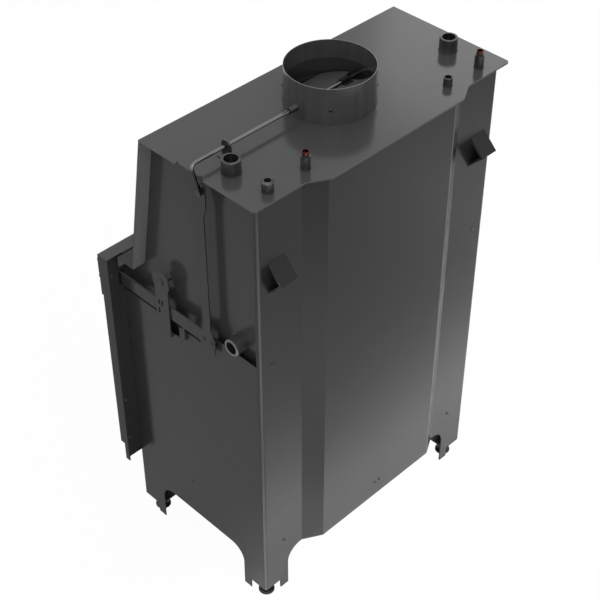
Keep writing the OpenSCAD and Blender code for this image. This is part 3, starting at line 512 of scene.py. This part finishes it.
def add_piece(name, data, finish, slot, body, *nodes):
    """Puts a mesh in the scene as a piece on a body, in place of the named nodes."""
    piece = bpy.data.objects.new(name, data)
    bpy.context.scene.collection.objects.link(piece)
    data.materials.append(FINISHES[finish])
    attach(piece, body)
    if nodes:
        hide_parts(*nodes)
    return piece


def islands(node):
    """Lowest and highest corner of each separate solid of a CAD node."""
    mesh = bmesh.new()
    mesh.from_mesh(NODES[node].data)
    bmesh.ops.remove_doubles(mesh, verts=mesh.verts, dist=1e-6)
    left = set(mesh.verts)
    found = []
    while left:
        group, front = [], [left.pop()]
        while front:
            vert = front.pop()
            group.append(vert.co.copy())
            for edge in vert.link_edges:
                other = edge.other_vert(vert)
                if other in left:
                    left.remove(other)
                    front.append(other)
        low = Vector([min(co[i] for co in group) for i in range(3)])
        high = Vector([max(co[i] for co in group) for i in range(3)])
        found.append((low, high))
    mesh.free()
    return sorted(found, key=lambda pair: tuple(round(v, 5) for v in pair[0]))


# ---------------------------------------------------------------- finishes


def paint(name, colour, roughness, patch=0.10, ior=1.33):
    """Semi-gloss stove paint: soft patches of gloss and a faint orange peel."""
    f = Finish(name)
    cloud = f.noise(3.2, 3.0)
    smear = f.noise(1.0, 4.0, 0.6, f.stretched((18.0, 18.0, 3.0)))
    soft = roughness - patch / 2 + patch * smear + 0.05 * (cloud - 0.5)
    f.set(
        Base_Color=f.mix(0.28 * cloud, shaded(colour, 0.86), shaded(colour, 1.18)),
        Roughness=soft.clamp(0.05, 1.0),
        Normal=f.grain(420.0, 0.00002, 0.5),
        Metallic=0.0,
        IOR=ior,
    )
    return f


def painted_bend_highlights(name, colour, roughness):
    """Paint of the rear cover, with painted highlights along its upright bends."""
    f = paint(name, colour, roughness)
    x, y = f.axis(0), f.axis(1)
    low, high = 0.0052, 0.0042
    # Painted highlight: the rounded rear corner drawn 2.3 times lighter
    corner = x.math("ABSOLUTE").step(CORNER_X - low, CORNER_X - high)
    corner = corner * y.step(REAR_Y - low, REAR_Y - high)
    f.repaint(corner, shaded(colour, 2.3))
    # Painted highlight: the upright bends of the bulge drawn 5 times lighter
    away = (x + BULGE_X).math("ABSOLUTE")
    fold = (1.0 - away.step(0.0020, 0.0030)) * y.step(BULGE_Y - 0.0020, BULGE_Y - 0.0012)
    f.repaint(fold, shaded(colour, 5.0))
    return f


def painted_back_light(name, colour, roughness):
    """Paint of the tank's front, with painted light on the rear side of its flanges."""
    f = paint(name, colour, roughness)
    # Painted light: faces that look to the rear drawn 3.4 times lighter
    f.repaint(f.normal(1).step(0.3, 0.6), shaded(colour, 3.4))
    return f


def painted_top_highlights(name, colour, roughness):
    """Paint of flat bars, with painted highlights on the cut edges and other faces that look up.
    """
    f = paint(name, colour, roughness)
    # Painted highlight: faces that look up drawn 4 times lighter
    f.repaint(f.normal(2).step(0.25, 0.7), shaded(colour, 4.0))
    return f


def rolled(name, colour, roughness):
    """Paint over rolled sheet: upright streaks of gloss with painted highlight streaks in the
    colour, painted shade on the inside and a painted highlight round the top edge.
    """
    f = Finish(name)
    streak_and_highlight = f.noise(1.0, 3.0, 0.6, f.stretched((55.0, 55.0, 1.5)))
    cloud = f.noise(5.0, 3.0)
    x, y, z = (f.axis(i) for i in range(3))
    ring = (x * x + (y - ROD_Y) * (y - ROD_Y)).math("SQRT")
    inner = FLUE_INNER_R - SPIGOT_IN * z.step(SPIGOT_Z - 0.001, SPIGOT_Z + 0.001)
    # Mask of the outside: inside the bore the colour is drawn at 0.45 as painted shade
    outside = (ring - inner).step(0.0003, 0.0007)
    # Painted highlight round the collar's top edge
    rim_highlight = z.step(COLLAR_TOP - 0.0007, COLLAR_TOP - 0.0003)
    # Painted highlight streaks on the outside, from the noise that also streaks the gloss
    outer = f.mix(streak_and_highlight.step(0.25, 0.75), shaded(colour, 0.72), shaded(colour, 0.92))
    soft = roughness - 0.03 + 0.09 * streak_and_highlight + 0.05 * (cloud - 0.5)
    f.set(
        Base_Color=f.mix(rim_highlight, f.mix(outside, shaded(colour, 0.45), outer), (0.30, 0.30, 0.31)),
        Roughness=soft.clamp(0.05, 1.0),
        Normal=f.grain(420.0, 0.00002, 0.5),
        Metallic=0.0,
        IOR=1.6,
    )
    return f


def drawn_steel(name, colour, roughness, along=(4.0, 900.0, 900.0)):
    """Bright drawn steel with lines along one axis."""
    f = Finish(name)
    lines = f.noise(1.0, 2.0, 0.6, f.stretched(along))
    stain = f.noise(14.0, 4.0)
    f.set(
        Base_Color=f.mix(stain * 0.7, colour, shaded(colour, 0.66)),
        Roughness=(roughness - 0.08 + 0.2 * lines + 0.12 * (stain - 0.5)).clamp(0.08, 0.9),
        Normal=f.bump(lines, 0.00003, 0.4),
        Metallic=1.0,
    )
    return f


def crank_steel(name, colour, roughness):
    """Bright rod whose crank arm, below the bend, is drawn darker."""
    f = drawn_steel(name, colour, roughness)
    # The crank arm below the bend takes 0.22 of the rod's colour
    f.repaint(1.0 - f.axis(2).step(ROD_Z - 0.014, ROD_Z - 0.006), shaded(colour, 0.22))
    return f


def bloomed(name, colour, dull, roughness):
    """Zinc-plated or blackened steel with a faint bloom."""
    f = Finish(name)
    bloom = f.noise(60.0, 5.0, 0.65)
    f.set(
        Base_Color=f.mix(bloom, colour, dull),
        Roughness=roughness + 0.22 * bloom,
        Normal=f.grain(700.0, 0.00002, 0.3),
        Metallic=1.0,
    )
    return f


def copper_tube(name, colour):
    """Soft copper tube with brown tarnish, painted over up to its bare end."""
    f = Finish(name)
    tarnish = f.noise(70.0, 5.0, 0.6).step(0.42, 0.72)
    draw = f.noise(1.0, 2.0, 0.5, f.stretched((900.0, 900.0, 6.0)))
    ragged = f.axis(2) + 0.002 * f.noise(260.0, 2.0)
    bare = ragged.step(COIL_TOP - 0.0055, COIL_TOP - 0.0035)
    metal = f.mix(tarnish * 0.8, colour, (0.16, 0.05, 0.028))
    f.set(
        Base_Color=f.mix(bare, (0.030, 0.030, 0.031), metal),
        Roughness=(0.26 + 0.22 * tarnish + 0.08 * draw).clamp(0.1, 0.8),
        Normal=f.bump(draw, 0.00002, 0.4),
        Metallic=0.15 + 0.85 * bare,
    )
    return f


def disc_steel(name):
    """The throttle's sheet: grey, with a light bloom of heat."""
    f = Finish(name)
    bloom = f.noise(26.0, 4.0, 0.6)
    f.set(
        Base_Color=f.mix(bloom, (0.075, 0.075, 0.076), (0.13, 0.13, 0.13)),
        Roughness=(0.42 + 0.16 * bloom).clamp(0.1, 0.9),
        Normal=f.grain(500.0, 0.00002, 0.4),
        Metallic=0.1,
    )
    return f


def turned_steel(name, colour, roughness=0.26):
    """Blackened turned steel, brighter where it is worn."""
    f = Finish(name)
    ring = f.noise(90.0, 3.0, 0.6)
    wear = f.noise(24.0, 4.0, 0.6).step(0.45, 0.75)
    f.set(
        Base_Color=f.mix(wear, colour, shaded(colour, 1.9)),
        Roughness=(roughness + 0.16 * ring).clamp(0.1, 0.9),
        Normal=f.grain(500.0, 0.00002, 0.4),
        Metallic=0.80,
    )
    return f


def cast_iron(name):
    """Sand-cast iron with a rough skin and a little ash."""
    f = Finish(name)
    skin = f.noise(320.0, 4.0, 0.6)
    ash = f.noise(30.0, 5.0, 0.7).step(0.52, 0.75)
    f.set(
        Base_Color=f.mix(ash * 0.5, (0.035, 0.034, 0.033), (0.13, 0.12, 0.11)),
        Roughness=(0.62 + 0.25 * ash).clamp(0.2, 1.0),
        Normal=f.bump(skin, 0.0004, 0.8),
        Metallic=0.0,
    )
    return f


def boiler_plate(name):
    """Fire-side steel: dull black with brown and grey heat stains."""
    f = Finish(name)
    stain = f.noise(9.0, 5.0, 0.65)
    scale = f.noise(55.0, 4.0, 0.6)
    soot = f.mix(stain.step(0.4, 0.7), (0.018, 0.017, 0.017), (0.075, 0.060, 0.050))
    f.set(
        Base_Color=f.mix(scale.step(0.62, 0.8) * 0.5, soot, (0.14, 0.125, 0.115)),
        Roughness=(0.62 + 0.24 * scale).clamp(0.3, 1.0),
        Normal=f.bump(scale, 0.0002, 0.25),
        Metallic=0.2,
    )
    return f


def galvanised(name):
    """Galvanised sheet with its spangle."""
    f = Finish(name)
    inputs = {"Vector": f.place(), "Scale": 90.0}
    tone = f.axis(0, f.node("ShaderNodeTexVoronoi", {}, inputs, out="Color"))
    f.set(
        Base_Color=f.mix(tone, (0.36, 0.37, 0.38), (0.52, 0.53, 0.54)),
        Roughness=0.30 + 0.18 * tone,
        Normal=f.grain(500.0, 0.00003, 0.3),
        Metallic=1.0,
    )
    return f


def fire_glass(name):
    """Glass-ceramic pane, faintly amber, with a haze of soot towards its lower edge."""
    f = Finish(name)
    low = 1.0 - f.axis(2).step(0.31, 0.42)
    haze = (f.noise(16.0, 5.0, 0.65) * low).clamp()
    f.set(
        Base_Color=f.mix(haze, (0.14, 0.13, 0.115), (0.10, 0.085, 0.07)),
        Roughness=(0.02 + 0.25 * haze).clamp(0.0, 0.6),
        Alpha=(0.32 + 0.4 * haze).clamp(0.0, 1.0),
        Metallic=0.0,
        IOR=1.54,
    )
    return f


def glass_rope(name):
    """Braided glass-fibre rope, off-white and a little sooty."""
    f = Finish(name)
    fibre = f.noise(900.0, 2.0, 0.6)
    soot = f.noise(22.0, 4.0, 0.6).step(0.4, 0.75)
    f.set(
        Base_Color=f.mix(soot * 0.75, (0.58, 0.56, 0.52), (0.16, 0.14, 0.12)),
        Roughness=0.92,
        Normal=f.bump(fibre, 0.0003, 0.7),
    )
    return f


def weld_steel(name):
    """A painted weld: the casing's paint over coarse ripples."""
    f = Finish(name)
    pit = f.noise(260.0, 3.0, 0.6)
    f.set(
        Base_Color=f.mix(pit, (0.016, 0.016, 0.017), (0.035, 0.035, 0.036)),
        Roughness=0.42 + 0.2 * pit,
        Normal=f.bump(pit, 0.0003, 0.6),
        Metallic=0.1,
    )
    return f


FINISHES = {}


def make_finishes():
    """All materials, by the name of their finish."""
    s = settings()
    gloss = s.gloss
    rod = (0.27, 0.27, 0.275)
    all_ways = (60.0, 60.0, 60.0)
    made = {
        "plate": paint("plate_paint", s.plate, gloss - 0.06, 0.06, ior=1.5),
        "casing": paint("casing_paint", s.casing, gloss - 0.06, 0.05),
        "tank": paint("tank_paint", s.tank, gloss - 0.05, 0.05, ior=1.27),
        "black": painted_top_highlights("frame_paint", s.black, 0.40),
        "pipe": turned_steel("pipe_steel", (0.18, 0.18, 0.185)),
        "shell": painted_back_light("shell_paint_with_painted_light", s.tank, gloss + 0.16),
        # The rear cover takes the casing's paint at 0.86, a darker copy as painted shade
        "cover": painted_bend_highlights("cover_paint_with_painted_light", shaded(s.casing, 0.86), gloss),
        "disc": disc_steel("disc_steel"),
        "collar": rolled("collar_paint_with_painted_light", s.plate, gloss - 0.02),
        "socket": turned_steel("socket_steel", (0.085, 0.086, 0.088)),
        "link": painted_top_highlights("link_paint_with_painted_highlights", shaded(s.casing, 0.95), gloss - 0.02),
        "rod": drawn_steel("rod_steel", rod, 0.15),
        "crank": crank_steel("crank_steel", rod, 0.15),
        "handle": drawn_steel("handle_steel", (0.50, 0.50, 0.51), 0.26, (900.0, 900.0, 4.0)),
        "dark_screw": drawn_steel("screw_steel", (0.10, 0.10, 0.105), 0.38, all_ways),
        "foot": bloomed("foot_black", (0.045, 0.045, 0.047), (0.075, 0.074, 0.072), 0.24),
        "thread": drawn_steel("thread_steel", (0.020, 0.020, 0.021), 0.45, all_ways),
        "zinc": bloomed("zinc_plate", (0.50, 0.51, 0.52), (0.62, 0.60, 0.54), 0.26),
        "copper": copper_tube("copper_tube", s.copper),
        "iron": cast_iron("cast_iron"),
        "boiler": boiler_plate("boiler_plate"),
        "galvanised": galvanised("galvanised_sheet"),
        "glass": fire_glass("fire_glass"),
        "rope": glass_rope("glass_rope"),
        "weld": weld_steel("painted_weld"),
    }
    FINISHES.update((name, finish.material) for name, finish in made.items())


NODE_FINISH = {
    "plate": ["top_plate"],
    "collar": ["flue_collar"],
    "cover": ["rear_wall"],
    "casing": ["side_panel_right", "side_panel_left", "front_plate", "base_plate", "lifting_lugs"],
    "tank": ["tank_side_right", "tank_side_left"],
    "shell": ["front_shell"],
    "disc": ["damper_disc"],
    "black": ["front_frame", "front_header", "hinge_bracket", "door_leaf", "pull_grip"],
    "boiler": ["hearth_plate", "firebox_side_right", "firebox_side_left", "firebox_back",
               "firebox_crown", "flue_throat", "lintel_shell", "water_tubes", "baffle_plate"],
    "link": ["rod_bracket", "bar_guide", "bar_rest", "pull_bar", "yoke_bar", "rod_bush"],
    "rod": ["damper_rod", "hinge_pins"],
    "handle": ["door_handle"],
    "pipe": ["return_sockets"],
    "socket": ["coil_sleeves", "flow_sockets", "sensor_socket", "probe_socket"],
    "dark_screw": ["damper_clip", "collar_screws", "panel_screws", "glass_clips", "latch_cam"],
    "copper": ["cooling_coil"],
    "iron": ["grate", "log_guard"],
    "glass": ["door_glass"],
    "rope": ["door_seal"],
    "foot": ["foot_brackets"],
    "zinc": ["foot_front_right", "foot_front_left", "foot_rear_right", "foot_rear_left"],
    "galvanised": ["ash_pan", "air_rails", "air_slide"],
}

# Sheet and plate nodes whose cut edges are broken by a small bevel
BEVELLED = ["top_plate", "rear_wall", "side_panel_right", "side_panel_left", "front_shell",
            "tank_side_right", "tank_side_left", "front_frame", "front_header", "bar_guide",
            "bar_rest", "pull_bar", "yoke_bar", "lifting_lugs", "door_leaf", "flue_collar",
            "flow_sockets", "return_sockets", "sensor_socket", "probe_socket", "coil_sleeves",
            "rod_bracket"]


class INSERT_OT_finishes(bpy.types.Operator):
    """Give every node of the frame its material and break the sheet edges"""

    bl_idname = "insert.finishes"
    bl_label = "Finishes"

    def execute(self, context):
        make_finishes()
        for finish, names in NODE_FINISH.items():
            for name in names:
                node = NODES[name]
                node.data.materials.clear()
                node.data.materials.append(FINISHES[finish])
        for name in BEVELLED:
            edge = NODES[name].modifiers.new("broken_edge", "BEVEL")
            edge.width = settings().edge
            edge.segments = 2
            edge.limit_method = "ANGLE"
            edge.angle_limit = EDGE_ANGLE
            edge.harden_normals = True
        bends = NODES["rear_wall"].modifiers["broken_edge"]
        bends.width = settings().fold
        bends.angle_limit = FOLD_ANGLE
        return {"FINISHED"}


class INSERT_OT_stage(bpy.types.Operator):
    """Set the camera of the photograph, a pale floor and soft studio light"""

    bl_idname = "insert.stage"
    bl_label = "Stage"

    def execute(self, context):
        scene = context.scene
        scene.view_settings.view_transform = "Standard"
        self.add_camera(scene)
        self.add_floor(scene)
        self.add_lamps(scene)
        self.add_world(scene)
        return {"FINISHED"}

    def add_camera(self, scene):
        camera = bpy.data.cameras.new("photo_camera")
        camera.sensor_width = SENSOR_WIDTH
        camera.lens = SENSOR_WIDTH * FOCAL_PIXELS / PHOTO_WIDTH
        camera.clip_end = 50.0
        holder = bpy.data.objects.new("photo_camera", camera)
        holder.location = CAMERA_PLACE
        holder.rotation_euler = Vector(CAMERA_VIEW).to_track_quat("-Z", "Y").to_euler()
        scene.collection.objects.link(holder)
        scene.camera = holder

    def add_floor(self, scene):
        mesh = bpy.data.meshes.new("floor")
        half = FLOOR_HALF
        corners = [(-half, -half, 0), (half, -half, 0), (half, half, 0), (-half, half, 0)]
        mesh.from_pydata(corners, [], [(0, 1, 2, 3)])
        floor = bpy.data.objects.new("floor", mesh)
        floor.location.z = FLOOR_Z
        scene.collection.objects.link(floor)
        f = Finish("pale_floor")
        f.set(Base_Color=(0.80, 0.80, 0.80, 1.0), Roughness=0.9)
        glow = {"Color": (1, 1, 1, 1), "Strength": FLOOR_WHITE}
        white = f.node("ShaderNodeEmission", {}, glow)
        pick = f.node("ShaderNodeLightPath", out="Is Camera Ray")
        mixer = f.tree.nodes.new("ShaderNodeMixShader")
        feed(f.tree, mixer.inputs[0], pick * FLOOR_FLAT)
        f.tree.links.new(f.surface.outputs[0], mixer.inputs[1])
        f.tree.links.new(white.out, mixer.inputs[2])
        f.tree.links.new(mixer.outputs[0], f.output.inputs[0])
        mesh.materials.append(f.material)

    def add_lamps(self, scene):
        key = settings().key
        for name, (place, aim, size, share) in LAMPS.items():
            lamp = bpy.data.lights.new(name, "AREA")
            lamp.shape = "RECTANGLE"
            lamp.size, lamp.size_y = size
            lamp.energy = key * share
            holder = bpy.data.objects.new(name, lamp)
            holder.location = place
            holder.visible_camera = False
            holder.visible_glossy = not name.startswith("floor")
            view = Vector(aim) - Vector(place)
            holder.rotation_euler = view.to_track_quat("-Z", "Y").to_euler()
            scene.collection.objects.link(holder)

    def add_world(self, scene):
        world = bpy.data.worlds.new("studio")
        scene.world = world
        world.use_nodes = True
        tree = world.node_tree
        tree.nodes.clear()
        path = tree.nodes.new("ShaderNodeLightPath")
        seen = Sock(tree, path.outputs["Is Camera Ray"])
        glossy = Sock(tree, path.outputs["Is Glossy Ray"])
        through = Sock(tree, path.outputs["Is Transmission Ray"])
        white = (seen + through).clamp()
        background = tree.nodes.new("ShaderNodeBackground")
        background.inputs["Color"].default_value = (1, 1, 1, 1)
        strength = white + (1.0 - white) * (settings().sky + glossy * SKY_GLINT)
        feed(tree, background.inputs["Strength"], strength)
        output = tree.nodes.new("ShaderNodeOutputWorld")
        tree.links.new(background.outputs[0], output.inputs[0])


# ---------------------------------------------------------------- pieces


class INSERT_OT_damper_rod(bpy.types.Operator):
    """Bend the damper's rod from one bar, with its hub, washer and pin"""

    bl_idname = "insert.damper_rod"
    bl_label = "Damper rod"

    def execute(self, context):
        sides = settings().turns // 2
        along = Vector((1, 0, 0))
        start = Vector((-FLUE_R, ROD_Y, ROD_Z))
        corner = Vector((CRANK_X, ROD_Y, ROD_Z))
        back, down = CRANK_R * math.sin(CRANK_REST), CRANK_R * math.cos(CRANK_REST)
        end = Vector((PIN_X, ROD_Y + back, ROD_Z - down))
        arc = rounded(start, corner, end, settings().bend, 12)
        path = line_path(start, arc[0], 0.02)[:-1] + arc
        path += line_path(arc[-1], end, 0.008)[1:]
        tip = 0.0006
        tips = {0: 0.0035, len(path) - 1: ROD_R - tip}
        bar = build("bar", swept(path, lambda k: tips.get(k, ROD_R), sides))
        hub_in, hub_out = PIN_X - HUB_L / 2, PIN_X + HUB_L / 2
        washer_in, washer_out = YOKE_X - 0.0026, YOKE_X - 0.0006
        pin_in = washer_in - 0.001
        pin = [(ROD_R - tip, pin_in), (ROD_R, pin_in + tip), (ROD_R, PIN_X)]
        hub = band(ROD_R, HUB_R, hub_in, hub_out, 0.0008)
        hub += [(0.0030, hub_out), (0.0026, hub_out - 0.0006)]
        washer = band(ROD_R, HUB_R, washer_in, washer_out, 0.0003) + [(ROD_R, washer_out)]
        at = (0, end.y, end.z)
        rod = [bar, build("pin", turned(pin, at, along, sides))]
        ends = [build("hub", turned(hub, at, along, sides)),
                build("washer", turned(washer, at, along, sides), loop=True)]
        for name, parts, finish in (("damper_crank_rod", rod, "crank"),
                                    ("damper_crank_hub", ends, "dark_screw")):
            add_piece(name, joined(name, parts), finish, "rod_steel", "damper", "damper_rod")
        return {"FINISHED"}


def socket_head(place, axis, radius, height):
    """Rings of a low domed screw head with a hexagon socket."""
    dome = [(radius, 0.0), (radius, height * 0.25), (radius * 0.94, height * 0.60),
            (radius * 0.80, height * 0.85), (radius * 0.62, height), (radius * 0.46, height),
            (radius * 0.44, height * 0.94), (radius * 0.44, height * 0.35)]

    def shape(k, angle):
        return hexagon(angle) if k >= 5 else 1.0

    return turned(dome, place, axis, 36, shape)


def hex_head(place, axis, radius, height):
    """Rings of a hexagon bolt head on its washer, with chamfered corners."""
    flat = radius * math.cos(math.pi / 6)
    profile = [(radius * 1.06, 0.0), (radius * 1.06, 0.0013), (radius * 1.02, 0.0016),
               (flat * 0.98, 0.0016), (radius, 0.0022), (radius, height - 0.0012),
               (flat * 0.99, height), (0.001, height)]

    def shape(k, angle):
        if k in (4, 5):
            return hexagon(angle)
        if k == 6:
            return min(1.0, hexagon(angle) * radius / (flat * 0.99))
        return 1.0

    return turned(profile, place, axis, 60, shape)


class INSERT_OT_screws(bpy.types.Operator):
    """Give every screw of the casing and the collar a real head"""

    bl_idname = "insert.screws"
    bl_label = "Screws"

    def execute(self, context):
        heads = []
        for low, high in islands("panel_screws"):
            size = high - low
            middle = (low + high) / 2
            if min(size) > SCREW_T:
                axis = Vector((0, -math.cos(SLOPE), math.sin(SLOPE)))
                seat = middle - axis * (BOLT_HEAD[1] / 2)
                heads.append(build("bolt", hex_head(seat, axis, *BOLT_HEAD)))
                continue
            thin = min(range(3), key=lambda i: size[i])
            sign = 1 if (thin == 1 or middle[thin] > 0) else -1
            axis = Vector([sign if i == thin else 0 for i in range(3)])
            seat = middle - axis * size[thin] / 2
            heads.append(build("screw", socket_head(seat, axis, *SCREW_HEAD)))
        self.add_heads("casing_screw_heads", heads, "panel_screws")
        heads = []
        for low, high in islands("collar_screws"):
            middle = (low + high) / 2
            axis = Vector((middle.x, middle.y - ROD_Y, 0)).normalized()
            seat = Vector((0, ROD_Y, middle.z)) + axis * (FLUE_R - 0.00005)
            heads.append(build("screw", socket_head(seat, axis, *SCREW_HEAD)))
        self.add_heads("collar_screw_heads", heads, "collar_screws")
        return {"FINISHED"}

    def add_heads(self, name, heads, node):
        add_piece(name, joined(name, heads), "dark_screw", "screw_steel", "insert", node)


def thread_rings(place, axis, radius, pitch, start, end, inner=False):
    """Rings of a thread between two heights; inner gives the lining of a bore."""
    sides = 32
    per_turn = 8
    count = round((end - start) / pitch * per_turn)

    def shape(k, angle):
        phase = (k / per_turn - angle / math.tau) % 1.0
        height = 1.0 - abs(2.0 * phase - 1.0)
        fade = min(1.0, k / per_turn, (count - k) / per_turn)
        cut = THREAD_DEPTH * (1.0 - min(1.0, 1.35 * height)) * fade
        return (radius + cut if inner else radius - cut) / radius

    base = radius - THREAD_DEPTH if inner else radius
    profile = [(base, start + (end - start) * k / count) for k in range(count + 1)]
    return turned(profile, place, axis, sides, shape)


class INSERT_OT_feet(bpy.types.Operator):
    """Turn the four levelling feet with their threads"""

    bl_idname = "insert.feet"
    bl_label = "Levelling feet"

    def execute(self, context):
        sides = settings().turns
        up = (0, 0, 1)
        for node, (body, x, y) in FOOT_AXES.items():
            place = (x, y, 0)
            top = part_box(node)[1].z
            stem = thread_rings(place, up, FOOT_R, FOOT_PITCH, FOOT_NECK - 0.0002, top - 0.0008)
            tip = [(FOOT_R, top - 0.0009), (FOOT_R - 0.0008, top), (0.0004, top)]
            parts = [build("disc", turned(FOOT_DISC, place, up, sides)), build("stem", stem),
                     build("tip", turned(tip, place, up, 32))]
            add_piece(node + "_turned", joined(node, parts), "foot", "foot_steel", body, node)
        return {"FINISHED"}


class INSERT_OT_threads(bpy.types.Operator):
    """Cut the pipe threads inside the sockets"""

    bl_idname = "insert.threads"
    bl_label = "Socket threads"

    def execute(self, context):
        up = (0, 0, 1)
        fx, fy = FLOW_PLACE
        ry, rz = RETURN_PLACE
        pipe = (SOCKET_BORE_R, PIPE_PITCH, SOCKET_L)
        sensor = (SMALL_BORE_R, SMALL_PITCH, SENSOR_L)
        probe = (SMALL_BORE_R, SMALL_PITCH, PROBE_L)
        plans = [("flow_right_thread", (fx, fy, PLATE_Z), up, pipe),
                 ("flow_left_thread", (-fx, fy, PLATE_Z), up, pipe),
                 ("return_right_thread", (TANK_X, ry, rz), (1, 0, 0), pipe),
                 ("return_left_thread", (-TANK_X, ry, rz), (-1, 0, 0), pipe),
                 ("sensor_thread", (*SENSOR_PLACE, PLATE_Z), up, sensor),
                 ("probe_thread", (*PROBE_PLACE, PLATE_Z), up, probe)]
        for name, place, axis, (radius, pitch, length) in plans:
            inside = radius - 0.00005
            rings = thread_rings(place, axis, inside, pitch, 0.002, length - 0.0012, inner=True)
            data = build(name, rings, caps=False, turn=True, sharp=60.0)
            add_piece(name, data, "thread", "socket_steel", "insert")
        return {"FINISHED"}


class INSERT_OT_welds(bpy.types.Operator):
    """Lay the weld beads round the sockets, the collar and the lugs"""

    bl_idname = "insert.welds"
    bl_label = "Welds"

    def execute(self, context):
        big = settings().bead
        small = big * 0.7
        up = (0, 0, 1)
        fx, fy = FLOW_PLACE
        ry, rz = RETURN_PLACE
        sockets = [((s * fx, fy, PLATE_Z), up, SOCKET_R) for s in (-1, 1)]
        sockets += [((s * TANK_X, ry, rz), (s, 0, 0), SOCKET_R) for s in (-1, 1)]
        fittings = [(place, SLEEVE_R) for place in COIL_PLACES]
        fittings += [(SENSOR_PLACE, SENSOR_R), (PROBE_PLACE, PROBE_R)]
        fittings = [((*place, PLATE_Z), up, radius) for place, radius in fittings]
        self.lay_rounds("collar_weld", [((0, ROD_Y, PLATE_Z), up, FLUE_R)], big)
        self.lay_rounds("socket_welds", sockets, big)
        self.lay_rounds("fitting_welds", fittings, small)
        low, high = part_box("lifting_lugs")
        near, far = LUG_SPAN
        lugs = [line_path((s * near, REAR_Y, z), (s * far, REAR_Y, z), big * BEAD_STEP)
                for s in (-1, 1) for z in (low.z, high.z)]
        self.lay("lug_welds", lugs, big, False)
        return {"FINISHED"}

    def lay_rounds(self, name, circles, bead):
        """One piece of round beads, from (centre, axis, radius) of each circle."""
        paths = [circle_path(*circle, bead * BEAD_STEP) for circle in circles]
        self.lay(name, paths, bead, True)

    def lay(self, name, paths, bead, closed):
        """One piece of beads along paths."""
        beads = [build("bead", bead_rings(path, bead, closed), loop=closed, sharp=80.0)
                 for path in paths]
        add_piece(name, joined(name, beads), "weld", "casing_paint", "insert")


class INSERT_OT_door_rope(bpy.types.Operator):
    """Lay the door's sealing rope round the mouth"""

    bl_idname = "insert.door_rope"
    bl_label = "Door rope"

    def execute(self, context):
        low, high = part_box("door_seal")
        depth = (high.y - low.y) / 2
        width = 0.006
        corner = 0.024
        x = high.x - width
        bottom, top = low.z + width, high.z - width
        path = []
        quarter = 10
        per_braid = 6
        step = settings().rope / per_braid
        centres = [(x - corner, bottom + corner, -90), (x - corner, top - corner, 0),
                   (corner - x, top - corner, 90), (corner - x, bottom + corner, 180)]
        for k, (cx, cz, turn) in enumerate(centres):
            for i in range(quarter + 1):
                a = math.radians(turn + 90 * i / quarter)
                path.append(Vector((cx + corner * math.cos(a), 0, cz + corner * math.sin(a))))
            nx, nz, next_turn = centres[(k + 1) % 4]
            b = math.radians(next_turn)
            goal = Vector((nx + corner * math.cos(b), 0, nz + corner * math.sin(b)))
            path += line_path(path[-1], goal, step)[1:-1]
        rings = []
        sides = 16
        middle = (low.y + high.y) / 2
        for k, (point, (along, _, _)) in enumerate(zip(path, steady_frames(path, True))):
            out = along.cross(Vector((0, 1, 0)))
            ring = []
            for i in range(sides):
                a = math.tau * i / sides
                phase = math.tau * k / per_braid
                lay = math.cos(4 * a + phase) * math.cos(4 * a - phase)
                r = 0.95 + 0.05 * lay
                ring.append(Vector((point.x, middle + depth * r * math.sin(a), point.z))
                            + out * (width * r * math.cos(a)))
            rings.append(ring)
        data = build("door_rope", rings, loop=True, sharp=80.0)
        add_piece("door_rope", data, "rope", "seal_rope", "door", "door_seal")
        return {"FINISHED"}


class INSERT_PT_looks(bpy.types.Panel):
    """Buttons and sizes of the insert"""

    bl_idname = "INSERT_PT_looks"
    bl_label = "Fireplace insert"
    bl_space_type = "VIEW_3D"
    bl_region_type = "UI"
    bl_category = "Insert"

    def draw(self, context):
        column = self.layout.column()
        for name in InsertSettings.__annotations__:
            column.prop(context.scene.insert_settings, name)
        for operator in OPERATORS:
            column.operator(operator.bl_idname)


OPERATORS = [INSERT_OT_stage, INSERT_OT_finishes, INSERT_OT_damper_rod, INSERT_OT_screws,
             INSERT_OT_feet, INSERT_OT_threads, INSERT_OT_welds, INSERT_OT_door_rope]
CLASSES = [InsertSettings, *OPERATORS, INSERT_PT_looks]


def register():
    """Registers the classes and the scene's settings."""
    for cls in CLASSES:
        bpy.utils.register_class(cls)
    bpy.types.Scene.insert_settings = PointerProperty(type=InsertSettings)


def unregister():
    """Takes the classes and the settings away again."""
    del bpy.types.Scene.insert_settings
    for cls in reversed(CLASSES):
        bpy.utils.unregister_class(cls)


def main():
    """Builds everything."""
    register()
    for operator in OPERATORS:
        group, name = operator.bl_idname.split(".")
        getattr(getattr(bpy.ops, group), name)()


if __name__ == "__main__":
    main()
